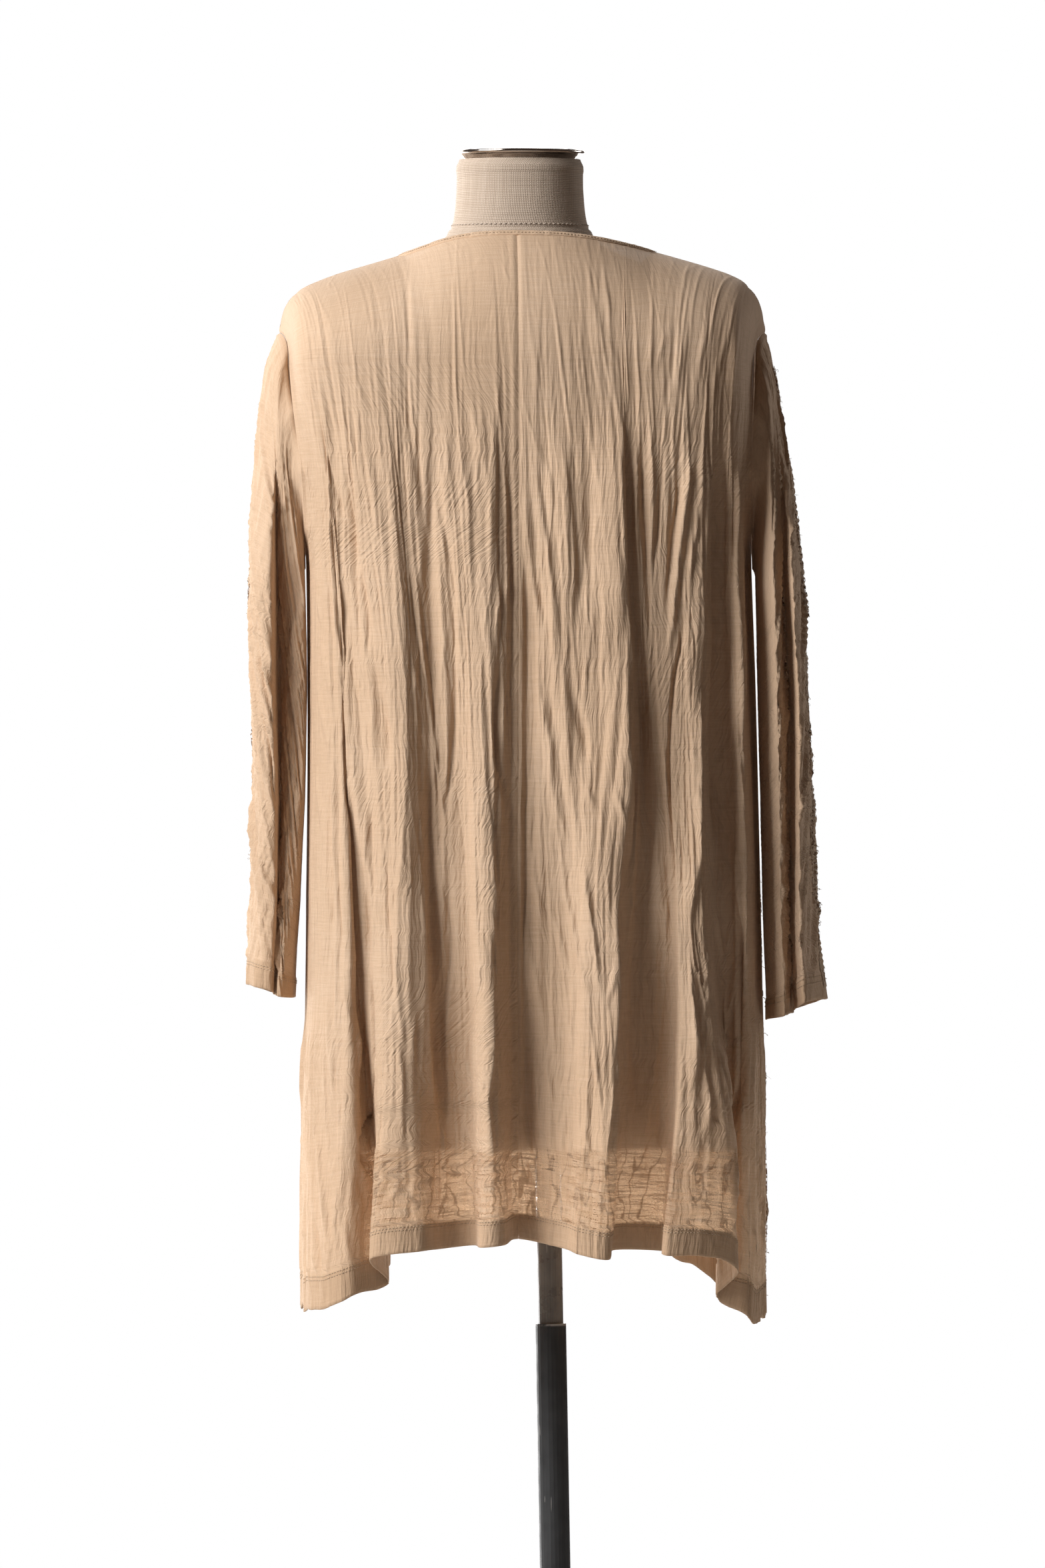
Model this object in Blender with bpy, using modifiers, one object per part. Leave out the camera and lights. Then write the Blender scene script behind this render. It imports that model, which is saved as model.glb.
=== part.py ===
"""A crinkled jersey tunic top on a linen-covered dress form with a telescopic steel stand.

The row frame is in metres with +Z up. The origin is the middle of the stand's foot plate, on the floor.
The back of the tunic faces -Y. Tables and sizes below are in millimetres and are turned into metres when
a mesh is made. x in the tables is measured from the form's own middle line.

The tunic is a ring of fold lines. Each row of a fold table is one line that runs down the cloth: a ridge,
the edge of a fold or the bottom of a trough. A smooth curve through the lines gives the cloth's outline
at every height, and another runs from the top edge over the shoulder into it.
"""

import math
from collections import namedtuple

import bmesh
import bpy
import numpy as np
from mathutils import Matrix

MM = 0.001

# Driving sizes of the tunic, in millimetres
WALL = 1.4  # cloth of the panels and sleeves
HEM_WALL = 2.4  # turned-up hem, two layers and its stitching
HEM_DEEP = 22.0
HEM_STEP = 1.5
SEAM_EASE = 0.2  # each piece stops this far short of its seam
SHOULDER_EASE = 0.4
GROOVE_RISE = 0.35  # sine of the angle at which an armhole seam counts as a full groove
BAND_WIDE, BAND_THICK, BAND_PROUD = 6.0, 2.2, 0.4  # neck binding, and how far it stands out from the panels
BAND_GAP = 0.4  # between the binding and the panels' edges
YOKE_Z = 1290.0  # the cloth hangs straight from here down
UNDERARM_Z = 1120.0
SKIRT_Z = 725.0  # rows below here are spread down to the hem
SEAM_Y = 6.0  # the shoulder seam lies this far forward of the form's middle
CORNER = 3.2  # exponent of the outline at each height: 2 is an ellipse, more is boxier

# Driving sizes of the stand, in millimetres
POLE_LEAN = math.radians(1.02)
FORM_X = -34.6  # the form's middle line, from the middle of the foot plate
MAST_RADIUS = 10.6
MAST_TOP, MAST_FOOT = 740.0, 150.0
TUBE_RADIUS, TUBE_TOP = 12.9, 484.0
TUBE_FLOOR = 20.0
RUNNING_GAP = 0.3
FOOT_RADIUS, FOOT_EDGE = 175.0, 8.0
HUB_RADIUS, HUB_TOP = 24.0, 46.0

# Height levels of the fold tables: yoke, bust, waist, hip, thigh and hem
LEVELS = (1290.0, 1180.0, 1010.0, 840.0, 680.0, 540.0)
BACK_DEPTH = (118.0, 122.0, 127.0, 134.0, 142.0, 148.0)
FRONT_DEPTH = (106.0, 135.0, 142.0, 145.0, 149.0, 151.0)

# One row for each fold line of the back, from the left side seam to the right one:
# name, x at each level, how far it stands out from the plain outline at each level, height of its hem
BACK_FOLDS = (
    ("side_left", (-194, -182, -179, -179, -182, -184), (0, 0, 0, 0, 0, 0), 500),
    ("side_left_face", (-181, -169, -167, -167, -169, -167), (0, 4, 6, 8, 5, 0), 499),
    ("tuck_left", (-167, -153, -139, -128, -114, -106), (0, -2, -8, -18, -34, -48), 538),
    ("plane_left_edge", (-150, -131, -117, -114, -121, -125), (0, 3, 8, 12, 14, 16), 543),
    ("plane_left_end", (-131, -109, -95, -78, -75, -76), (0, 3, 8, 10, 12, 12), 552),
    ("trough_left", (-119, -93, -78, -69, -70, -72), (0, -2, -8, -14, -20, -26), 551),
    ("trough_left_end", (-94, -64, -56, -50, -42, -39), (0, -2, -6, -12, -20, -28), 554),
    ("ridge_left", (-72, -44, -38, -42, -36, -34), (0, 3, 6, 8, 8, 6), 553),
    ("ridge_left_end", (-50, -24, -22, -23, -19, -13), (0, 3, 7, 8, 8, 4), 555),
    ("centre_back", (-1, -1, -1, -2, -1, -1), (-1, -4, -12, -16, -24, -34), 559),
    ("flat_right", (28, 36, 31, 39, 39, 36), (0, -2, -4, -4, -4, -6), 552),
    ("ridge_right", (50, 58, 62, 58, 56, 50), (0, 2, 6, 8, 8, 8), 547),
    ("ridge_right_end", (69, 86, 91, 82, 84, 73), (0, 4, 10, 12, 12, 12), 543),
    ("trough_right", (78, 92, 96, 92, 89, 78), (0, -3, -12, -16, -24, -28), 550),
    ("trough_right_end", (100, 114, 114, 127, 125, 117), (0, -3, -12, -16, -26, -30), 549),
    ("plane_right_edge", (117, 125, 128, 132, 131, 121), (0, 3, 6, 8, 10, 12), 546),
    ("plane_right_end", (150, 154, 151, 161, 177, 181), (0, 5, 12, 14, 14, 14), 536),
    ("tuck_right", (167, 169, 169, 169, 167, 165), (0, -4, -14, -20, -34, -48), 520),
    ("side_right_face", (183, 184, 186, 188, 190, 194), (0, 0, -4, -6, -6, -6), 490),
    ("side_right", (197, 194, 199, 203, 206, 207), (0, 0, 0, 0, 0, 0), 492),
)

# The same for the front
FRONT_FOLDS = (
    ("side_left", (-194, -182, -179, -179, -182, -184), (0, 0, 0, 0, 0, 0), 500),
    ("front_left_face", (-181, -168, -166, -164, -160, -162), (0, 2, 4, 6, 8, 8), 505),
    ("front_tuck_left", (-160, -146, -134, -124, -116, -112), (0, -3, -8, -16, -30, -38), 528),
    ("front_plane_left", (-140, -126, -118, -116, -120, -122), (0, 3, 8, 10, 12, 14), 540),
    ("front_plane_left_end", (-112, -98, -88, -82, -80, -80), (0, 3, 8, 10, 12, 12), 548),
    ("front_trough_left", (-98, -84, -72, -66, -64, -62), (0, -3, -8, -14, -20, -24), 550),
    ("front_trough_left_end", (-66, -54, -46, -42, -38, -36), (0, -2, -6, -12, -18, -22), 552),
    ("front_ridge_mid", (-48, -38, -32, -28, -24, -22), (0, 2, 6, 9, 10, 10), 552),
    ("front_ridge_mid_end", (-14, -12, -6, -4, 0, 2), (0, 2, 6, 8, 8, 8), 554),
    ("front_trough_mid", (6, 6, 10, 12, 16, 18), (0, -2, -8, -14, -20, -26), 555),
    ("front_trough_mid_end", (44, 44, 48, 50, 52, 56), (0, -2, -6, -12, -18, -22), 552),
    ("front_plane_right", (62, 60, 62, 64, 68, 72), (0, 3, 8, 10, 12, 12), 549),
    ("front_plane_right_end", (100, 98, 98, 102, 108, 114), (0, 3, 8, 10, 12, 12), 545),
    ("front_tuck_right", (120, 118, 116, 118, 122, 128), (0, -3, -10, -16, -24, -30), 538),
    ("front_tuck_right_end", (156, 152, 150, 152, 156, 158), (0, -3, -8, -12, -18, -22), 520),
    ("front_right_face", (183, 176, 176, 180, 184, 188), (0, 2, 6, 8, 10, 10), 500),
    ("side_right", (197, 194, 199, 203, 206, 207), (0, 0, 0, 0, 0, 0), 492),
)
CENTRE_LINE = 9  # the back's row where its two panels are sewn together

# Columns of cells between each fold line and the next. The first and last strips of back and front match
BACK_CELLS = (3, 2, 3, 2, 2, 2, 2, 2, 3, 3, 2, 2, 2, 2, 2, 2, 3, 2, 3)
FRONT_CELLS = (3, 2, 2, 2, 2, 2, 2, 2, 2, 2, 2, 2, 2, 2, 2, 3)

# A panel: its folds, depth at each level, cells, side of the form that it faces (-1 is the back) and the
# fold lines that meet the shoulder seams' inner ends
Panel = namedtuple("Panel", "folds depth cells facing neck")
BACK = Panel(BACK_FOLDS, BACK_DEPTH, BACK_CELLS, -1, (6, 14))
FRONT = Panel(FRONT_FOLDS, FRONT_DEPTH, FRONT_CELLS, 1, (5, 12))

# Armhole: height, y of its back edge, y of its front edge
ARMHOLE = ((1318, 6, 6), (1290, -34, 42), (1250, -60, 64), (1200, -66, 70), (1150, -42, 46), (1120, 0, 0))

# Top edge of the cloth: x, height. Neckline between the neck points, shoulder seam outside them
NECK_LEFT, NECK_RIGHT = -100.0, 112.0
NECK_CORNER = 2.6  # exponent of the neckline seen from above
NECK_BACK_Y, NECK_FRONT_Y, NECK_FRONT_Z = -63.0, 86.0, 1316.0
TOP_EDGE = (
    (-203, 1318), (-201, 1334), (-197, 1345), (-188, 1354), (-156, 1367), (-111, 1380), (-89, 1387),
    (-67, 1395), (-44, 1399.5), (-25, 1401), (0, 1401), (28, 1400.5), (55, 1398), (83, 1393),
    (110, 1387), (156, 1374), (183, 1365), (198, 1355), (204, 1342), (207, 1318),
)
TIP_LEFT, TIP_RIGHT = -203.0, 207.0

# Rows of a panel, from its top edge to its hem. 0 to 1 is over the shoulder, 1 to 2 hangs straight down
# to SKIRT_Z, and 2 to 3 is spread down to the hem
UNDERARM_ROW = 1 + (YOKE_Z - UNDERARM_Z) / (YOKE_Z - SKIRT_Z)
PANEL_ROWS = (
    0.0, 0.3, 0.55, 0.8, 1.0, 1.1, 1.2, UNDERARM_ROW, 1.42, 1.56, 1.7, 1.85, 2.0, 2.22, 2.44, 2.65, 2.8,
)
ARMHOLE_ROWS = PANEL_ROWS[:8]

# Sleeves: height, x of the outer fold, x of the inner fold
LEFT_SLEEVE_SIDES = (
    (1318, -210, -204), (1290, -213.5, -197), (1258, -217, -192), (1203, -221, -187), (1147, -225, -184.5),
    (1036, -226, -183.5), (925, -223, -183), (840, -224, -184), (800, -226, -185.5), (760, -229, -187),
)
RIGHT_SLEEVE_SIDES = (
    (1318, 210, 207), (1290, 212.5, 202), (1258, 217, 201), (1203, 227, 201.5), (1147, 233, 202.5),
    (1036, 239, 204.5), (925, 245, 206), (840, 248, 207.5), (800, 252, 208.5), (758, 258, 209),
)
# One row for each fold line round a sleeve, from the shoulder round the back to the underarm and round the
# front: name, share of the way from inner to outer fold and y of the hanging tube, the same at the cuff,
# height of the cuff's edge
LEFT_SLEEVE_FOLDS = (
    ("outer", 1.0, 5, 1.0, 4, 770),
    ("outer_back", 0.97, -32, 0.98, -22, 770),
    ("outer_lobe", 0.82, -55, 0.84, -42, 768),
    ("trough_edge", 0.60, -52, 0.62, -42, 765),
    ("trough", 0.46, -22, 0.46, -33, 762),
    ("inner_lobe_edge", 0.33, -50, 0.31, -43, 760),
    ("inner_lobe", 0.12, -54, 0.10, -40, 759),
    ("underarm", 0.0, -4, 0.0, -3, 759),
    ("inner_front", 0.07, 44, 0.04, 32, 759),
    ("front_inner_lobe", 0.27, 53, 0.22, 43, 760),
    ("front_trough", 0.46, 28, 0.46, 32, 762),
    ("front_outer_lobe", 0.67, 54, 0.70, 43, 765),
    ("outer_front", 0.91, 49, 0.93, 34, 768),
    ("outer_mid", 1.0, 29, 1.0, 20, 770),
)
RIGHT_SLEEVE_FOLDS = (
    ("outer", 1.0, 5, 1.0, 6, 757),
    ("outer_back", 0.98, -32, 0.97, -18, 758),
    ("outer_lobe", 0.92, -54, 0.84, -41, 756),
    ("trough_edge", 0.72, -51, 0.60, -46, 751),
    ("trough", 0.57, -24, 0.38, -41, 747),
    ("inner_lobe_edge", 0.42, -50, 0.22, -36, 744),
    ("inner_lobe", 0.15, -55, 0.22, -14, 741),
    ("underarm", 0.0, -4, 0.0, -1, 740),
    ("inner_front", 0.07, 44, 0.04, 28, 741),
    ("front_inner_lobe", 0.27, 53, 0.20, 41, 744),
    ("front_trough", 0.47, 29, 0.44, 31, 748),
    ("front_outer_lobe", 0.68, 54, 0.70, 43, 752),
    ("outer_front", 0.91, 49, 0.92, 36, 756),
    ("outer_mid", 1.0, 29, 1.0, 22, 757),
)
SLEEVE_CELLS = 3  # columns between each of its fold lines and the next
SLEEVE_ROWS = (0.0, 0.035, 0.08, 0.135, 0.2, 0.27, 0.35, 0.45, 0.56, 0.68, 0.8, 0.9)
SLEEVE_SPREAD = 0.12  # share of its length in which a sleeve opens from the armhole to its hanging form
SLEEVE_DROP = 1.25  # exponent that holds the first rows close to the armhole
HANG_Z, CUFF_Z = 1000.0, 765.0  # between these a sleeve turns from its hanging form to its cuff's
SMOOTH_Z, FOLDED_Z = 1235.0, 1105.0  # between these its folds come in
SMOOTH_HALF_DEPTH = 60.0
SMOOTH_LINES, SMOOTH_ANGLES = (0, 4, 7, 10, 14), (0, 62, 180, 298, 360)  # fold lines round the plain tube

# Dress form: height, half width, depth of the back, depth of the front
FORM_RINGS = (
    (636, 150, 92, 88), (660, 159, 99, 94), (720, 168, 106, 102), (780, 169, 108, 104),
    (860, 158, 98, 100), (940, 132, 84, 92), (1000, 120, 78, 88), (1060, 126, 82, 98),
    (1120, 140, 92, 116), (1160, 148, 98, 120), (1210, 156, 102, 110), (1260, 165, 101, 94),
    (1300, 174, 96, 80), (1325, 179, 86, 68), (1341, 176, 76, 58), (1351, 168, 68, 50),
    (1359, 155, 61, 44), (1367, 133, 55, 40), (1375, 107, 52, 40), (1384, 83, 52, 43),
    (1394, 66, 53, 47), (1410, 57, 52.5, 50), (1436, 54, 52, 52), (1457, 53.5, 52, 52),
    (1463, 51, 49.5, 49.5),
)
FORM_CORNER = 2.25
FORM_SIDES = 30

# Turned pieces: radius, height. Each profile runs from its top down its outer side
CAP_PROFILE = (
    (0, 1475), (50, 1472), (54.6, 1470.5), (54.6, 1468), (47.5, 1465), (46.5, 1463.3), (0, 1463.3),
)
TUBE_PROFILE = (
    (0, TUBE_FLOOR + 6), (MAST_RADIUS + RUNNING_GAP, TUBE_FLOOR + 6), (MAST_RADIUS + RUNNING_GAP, TUBE_TOP),
    (TUBE_RADIUS, TUBE_TOP), (TUBE_RADIUS, TUBE_FLOOR), (0, TUBE_FLOOR),
)
FOOT_PROFILE = (
    (0, HUB_TOP), (HUB_RADIUS - 2, HUB_TOP), (HUB_RADIUS, HUB_TOP - 2), (HUB_RADIUS + 2, 19), (60, 15),
    (FOOT_RADIUS - 12, FOOT_EDGE + 2), (FOOT_RADIUS - 3, FOOT_EDGE), (FOOT_RADIUS, FOOT_EDGE - 3),
    (FOOT_RADIUS, 1.5), (FOOT_RADIUS - 1.5, 0), (0, 0),
)
MAST_PROFILE = (
    (0, MAST_TOP), (MAST_RADIUS - 0.8, MAST_TOP), (MAST_RADIUS, MAST_TOP - 0.8), (MAST_RADIUS, MAST_FOOT),
    (0, MAST_FOOT),
)

# Frayed strips: the column of the cloth's cells that one lies on, its edges as shares of that column, its
# first and last row, the edge that the strands leave from, their spacing, their lengths from top to foot
FRAY_THICK, FRAY_ROOT = 1.0, 2.2
FRAY_GAP = 0.8  # between a strip and the cloth under it
FRAY_SEED = 7
FRAYS = {
    "fray_sleeve_left": (38, (0.1, 0.95), (0.6, 12.6), 1, 15.0, (6, 5, 7, 11, 12, 9, 10)),
    "fray_sleeve_right": (2, (0.05, 0.9), (0.6, 12.6), 0, 15.0, (10, 7, 5, 5, 6, 6, 7)),
    "fray_side_right": (0, (0.3, 0.55), (12.2, 18.6), 0, 10.0, (9, 9, 12, 15, 17)),
}


# --- curves ---------------------------------------------------------------------------------------------

def through(samples, at, closed=False):
    """A smooth curve through samples[k] at k = 0, 1, 2 ..., read at the places at. samples is (n, m)."""
    count = len(samples)
    last = count if closed else count - 1
    first = np.clip(np.floor(at).astype(int), 0, last - 1)
    t = at - first
    weights = [-t + 2 * t**2 - t**3, 2 - 5 * t**2 + 3 * t**3, t + 4 * t**2 - 3 * t**3, t**3 - t**2]
    around = first + np.arange(-1, 3)[:, None]
    around = around % count if closed else np.clip(around, 0, count - 1)
    return (np.stack(weights) / 2 * np.take_along_axis(samples, around, axis=0)).sum(axis=0)


def at_levels(values, z):
    """A fold table's values at the heights z, as a smooth curve through the levels."""
    place = np.interp(-z, [-level for level in LEVELS], np.arange(len(LEVELS)))
    return through(np.repeat(np.array(values, float)[:, None], len(z), axis=1), place)


def unit(vectors):
    return vectors / np.maximum(np.linalg.norm(vectors, axis=-1, keepdims=True), 1e-9)


# --- the tunic's surface --------------------------------------------------------------------------------

def armhole_y(z, facing):
    """y of a panel's side edge: the armhole's above the underarm, and the side seam's below it."""
    column = 1 if facing < 0 else 2
    heights = [-row[0] for row in ARMHOLE]
    return np.interp(-z, heights, [row[column] for row in ARMHOLE])


def fold_lines(panel, z):
    """x and y of every fold line at the heights z, each (lines, heights).

    The plain outline is |x / side|^c + |y / depth|^c = 1, and a fold line stands out from it."""
    x = np.stack([at_levels(fold[1], z) for fold in panel.folds])
    out = np.stack([at_levels(fold[2], z) for fold in panel.folds])
    side = np.where(x < 0, -x[0], x[-1])
    reach = np.clip(np.abs(x) / side, 0, 1)
    plain = at_levels(panel.depth, z) * (1 - reach**CORNER) ** (1 / CORNER)
    y = panel.facing * (plain + out)
    y[0] = y[-1] = armhole_y(z, panel.facing)
    return x, y


def hanging(panel, line, z):
    """Points of the hanging cloth at the places line between the fold lines, and at the heights z."""
    x, y = fold_lines(panel, z)
    return np.stack([through(x, line), through(y, line), z], axis=-1)


def along_lines(values, line):
    """One value of each fold line, as a smooth curve through them read at the places line."""
    return through(np.repeat(np.array(values, float)[:, None], len(line), axis=1), line)


def top_edge(panel, line):
    """Points of the neckline and the shoulder seams at the places line.

    Round the neck |x / reach|^c + |y / depth|^c = 1. On the front the neckline also drops as a scoop."""
    x_yoke = [fold[1][0] for fold in panel.folds]
    knots = [x_yoke[0], x_yoke[panel.neck[0]], x_yoke[panel.neck[1]], x_yoke[-1]]
    x = along_lines(np.interp(x_yoke, knots, [TIP_LEFT, NECK_LEFT, NECK_RIGHT, TIP_RIGHT]), line)
    edge_x, edge_z = zip(*TOP_EDGE)
    z = np.interp(x, edge_x, edge_z)
    neck_x = np.where(x < 0, NECK_LEFT, NECK_RIGHT)
    reach = np.clip(x / neck_x, 0, 1)
    neck_y = NECK_BACK_Y if panel.facing < 0 else NECK_FRONT_Y
    y = SEAM_Y + (neck_y - SEAM_Y) * (1 - reach**NECK_CORNER) ** (1 / NECK_CORNER)
    if panel.facing > 0:
        side_z = np.interp(neck_x, edge_x, edge_z)
        z = np.where(reach < 1, NECK_FRONT_Z + (side_z - NECK_FRONT_Z) * reach**2.4, z)
    return np.stack([x, y, z], axis=-1)


def panel_points(panel, line, row):
    """Points of a panel at the places line and rows row, both (m,), as (m, 3).

    Over the shoulder each column is a cubic Bezier curve that leaves the top edge level and meets the
    hanging cloth straight down."""
    hem = along_lines([fold[3] for fold in panel.folds], line)
    straight = YOKE_Z + (SKIRT_Z - YOKE_Z) * (np.maximum(row, 1) - 1)
    z = np.where(row < 2, straight, SKIRT_Z + (hem - SKIRT_Z) * (row - 2))
    points = hanging(panel, line, z)
    start = top_edge(panel, line)
    end = hanging(panel, line, np.full(len(line), YOKE_Z))
    rise = (start - end) * np.array([0.0, 0.0, 1.0])
    leave = start + 0.6 * (end - start) * np.array([1.0, 1.0, 0.0]) - 0.05 * rise
    arrive = end + 0.55 * rise
    t = np.clip(row, 0, 1)[:, None]
    over = (1 - t) ** 3 * start + 3 * t * (1 - t) ** 2 * leave + 3 * t**2 * (1 - t) * arrive + t**3 * end
    return np.where(row[:, None] < 1, over, points)


def panel_grid(panel, lines, rows):
    """A panel as a grid (rows, columns, 3). The front's columns run from right to left round the ring."""
    line, row = np.meshgrid(lines, rows)
    grid = panel_points(panel, line.ravel(), row.ravel()).reshape(len(rows), len(lines), 3)
    return grid if panel.facing < 0 else grid[:, ::-1]


def sleeve_grid(armhole, sides, folds, places, rows):
    """A sleeve as a grid (rows, columns, 3) of a tube that starts at the armhole's points.

    Each column falls straight down from its armhole point. Its x and y go over from the armhole to the
    outline of the hanging tube. That has no troughs at first, y being -depth * sin(turn), then its own
    folds, and at its foot the cuff's."""
    place, row = (a.ravel() for a in np.meshgrid(places, rows))
    start = np.repeat(armhole[None], len(rows), axis=0).reshape(-1, 3)

    def round_tube(column):
        values = np.array([fold[column] for fold in folds], float)
        return through(np.repeat(values[:, None], len(place), axis=1), place, closed=True)

    z = start[:, 2] + (round_tube(5) - start[:, 2]) * row**SLEEVE_DROP
    heights = [-side[0] for side in sides]
    outer = np.interp(-z, heights, [side[1] for side in sides])
    inner = np.interp(-z, heights, [side[2] for side in sides])
    cuff = np.clip((HANG_Z - z) / (HANG_Z - CUFF_Z), 0, 1)
    across = round_tube(1) * (1 - cuff) + round_tube(3) * cuff
    y = round_tube(2) * (1 - cuff) + round_tube(4) * cuff
    plain = np.clip((z - FOLDED_Z) / (SMOOTH_Z - FOLDED_Z), 0, 1)
    turn = np.radians(np.interp(place, SMOOTH_LINES, SMOOTH_ANGLES))
    y += (-SMOOTH_HALF_DEPTH * np.sin(turn) - y) * plain
    spread = 1 - (1 - np.minimum(row / SLEEVE_SPREAD, 1)) ** 2
    x = start[:, 0] * (1 - spread) + (inner + (outer - inner) * across) * spread
    y = start[:, 1] * (1 - spread) + y * spread
    return np.stack([x, y, z], axis=-1).reshape(len(rows), len(places), 3)


# --- walls ----------------------------------------------------------------------------------------------

def triangles(rows, columns, first, closed=False, flip=False):
    """Two triangles for each cell of a grid whose points start at first."""
    across = columns if closed else columns - 1
    r, c = (a.ravel() for a in np.meshgrid(np.arange(rows - 1), np.arange(across), indexing="ij"))
    d = (c + 1) % columns
    a, b, e, f = (first + i * columns + j for i, j in ((r, c), (r, d), (r + 1, d), (r + 1, c)))
    faces = np.concatenate([np.stack([a, f, e], 1), np.stack([a, e, b], 1)])
    return faces[:, ::-1] if flip else faces


def outward(grid, closed=False):
    """Unit normals of a grid whose rows run down and whose columns run anticlockwise seen from above.

    Each is the mean of the normals of the triangles round a point, weighted by their angles there. The last
    row takes those of the row above, as the cloth is straight at its hem."""
    points = grid.reshape(-1, 3)
    faces = triangles(*grid.shape[:2], 0, closed)
    corners = points[faces]
    face_normals = unit(np.cross(corners[:, 1] - corners[:, 0], corners[:, 2] - corners[:, 0]))
    sums = np.zeros_like(points)
    for k in range(3):
        to_next = unit(corners[:, (k + 1) % 3] - corners[:, k])
        to_last = unit(corners[:, (k + 2) % 3] - corners[:, k])
        angle = np.arccos(np.clip((to_next * to_last).sum(axis=1), -1, 1))
        np.add.at(sums, faces[:, k], face_normals * angle[:, None])
    normals = unit(sums).reshape(grid.shape)
    normals[-1] = normals[-2]
    return normals


def share(first, second):
    """Two arrays of normals along one seam, both set to their mean direction."""
    mean = unit(first + second)
    first[:] = mean
    second[:] = mean


def share_in_ridges(first, second, second_way):
    """Sets the normals of two cloths at their seam to their mean where the seam is a ridge.

    In a groove, where the second cloth rises above the first one's plane, each keeps its own."""
    rise = (unit(second_way) * first).sum(axis=-1, keepdims=True)
    own = np.clip(rise / GROOVE_RISE, 0, 1)
    mean = unit(first + second)
    first[:] = unit(mean * (1 - own) + first * own)
    second[:] = unit(mean * (1 - own) + second * own)


def ease(edge, inner, by):
    """Moves an edge of a grid towards its neighbouring row or column, in place."""
    edge += by * unit(inner - edge)


def rim(outer, inner):
    """Triangles between two open chains of points."""
    a, b, c, d = outer[:-1], outer[1:], inner[1:], inner[:-1]
    return np.concatenate([np.stack([a, b, c], 1), np.stack([a, c, d], 1)])


def wall_mesh(grid, normals, thick, closed=False):
    """Points and triangles of a wall. Its outer face is the grid and its inner face lies thick behind."""
    rows, columns = grid.shape[:2]
    count = rows * columns
    inner = grid - normals * np.broadcast_to(thick, (rows,))[:, None, None]
    points = np.concatenate([grid.reshape(-1, 3), inner.reshape(-1, 3)])
    index = np.arange(count).reshape(rows, columns)
    faces = [triangles(rows, columns, 0, closed), triangles(rows, columns, count, closed, flip=True)]
    loop = np.append(index[0], index[0, 0]) if closed else index[0]
    foot = np.append(index[-1], index[-1, 0]) if closed else index[-1]
    faces.append(rim(loop, loop + count))
    faces.append(rim(foot, foot + count)[:, ::-1])
    if not closed:
        faces.append(rim(index[:, 0], index[:, 0] + count)[:, ::-1])
        faces.append(rim(index[:, -1], index[:, -1] + count))
    return points, np.concatenate(faces)


# --- objects --------------------------------------------------------------------------------------------

def material(name, colour, roughness, metallic=0.0):
    made = bpy.data.materials.new(name)
    made.use_nodes = True
    shader = made.node_tree.nodes["Principled BSDF"]
    shader.inputs["Base Color"].default_value = (*colour, 1)
    shader.inputs["Roughness"].default_value = roughness
    shader.inputs["Metallic"].default_value = metallic
    return made


def add_object(name, mesh, finish, collection):
    made = bpy.data.objects.new(name, mesh)
    mesh.materials.append(finish)
    collection.objects.link(made)
    return made


def add_mesh(name, points, faces, finish, collection, smooth=True):
    """A mesh object from points in millimetres about the form's middle line."""
    mesh = bpy.data.meshes.new(name)
    placed = (points + np.array([FORM_X, 0.0, 0.0])) * MM
    mesh.from_pydata(placed.tolist(), [], faces.tolist())
    mesh.update()
    if smooth:
        mesh.shade_smooth()
    return add_object(name, mesh, finish, collection)


def add_turned(name, profile, finish, collection, place, sides=40):
    """A turned piece: its profile spun round its own axis by a Screw modifier."""
    mesh = bpy.data.meshes.new(name)
    points = [(radius * MM, 0.0, z * MM) for radius, z in profile]
    mesh.from_pydata(points, [(k, k + 1) for k in range(len(points) - 1)], [])
    made = add_object(name, mesh, finish, collection)
    made.matrix_world = place
    screw = made.modifiers.new("turn", "SCREW")
    screw.steps = screw.render_steps = sides
    screw.use_merge_vertices = True
    screw.merge_threshold = 0.00001
    return made


def cut(target, name, radius, bottom, top, place, cutters):
    """Bores a round hole with a Boolean, and leaves its cutter in the cutters' collection."""
    mesh = bpy.data.meshes.new(name)
    shape = bmesh.new()
    middle = Matrix.Translation((0, 0, (bottom + top) / 2 * MM))
    wide, long = radius * MM, (top - bottom) * MM
    bmesh.ops.create_cone(
        shape, cap_ends=True, segments=24, radius1=wide, radius2=wide, depth=long, matrix=middle
    )
    shape.to_mesh(mesh)
    shape.free()
    cutter = bpy.data.objects.new(name, mesh)
    cutter.hide_render = True
    cutter.display_type = "WIRE"
    cutter.matrix_world = place
    cutters.objects.link(cutter)
    bore = target.modifiers.new(name, "BOOLEAN")
    bore.operation = "DIFFERENCE"
    bore.object = cutter


# --- the tunic's pieces ---------------------------------------------------------------------------------

def spaced(counts):
    """Places along the fold lines, with so many columns between each line and the next."""
    steps = [k + np.arange(n) / n for k, n in enumerate(counts)]
    return np.concatenate([*steps, [len(counts)]])


def with_hem(grid, edge):
    """A grid with three more rows: the top of its hem, the step under that, and its edge."""
    up = unit(grid[-1] - edge)
    return np.concatenate([grid, [edge + up * (HEM_DEEP + HEM_STEP), edge + up * HEM_DEEP, edge]])


def whole_panel(panel):
    lines = spaced(panel.cells)
    edge = panel_grid(panel, lines, np.array([3.0]))[0]
    return with_hem(panel_grid(panel, lines, np.array(PANEL_ROWS)), edge)


def wall_of_rows(count):
    """Thickness of a panel's wall at each row: the hem's three last rows are thicker."""
    thick = np.full(count, WALL)
    thick[-2:] = HEM_WALL
    return thick


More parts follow.
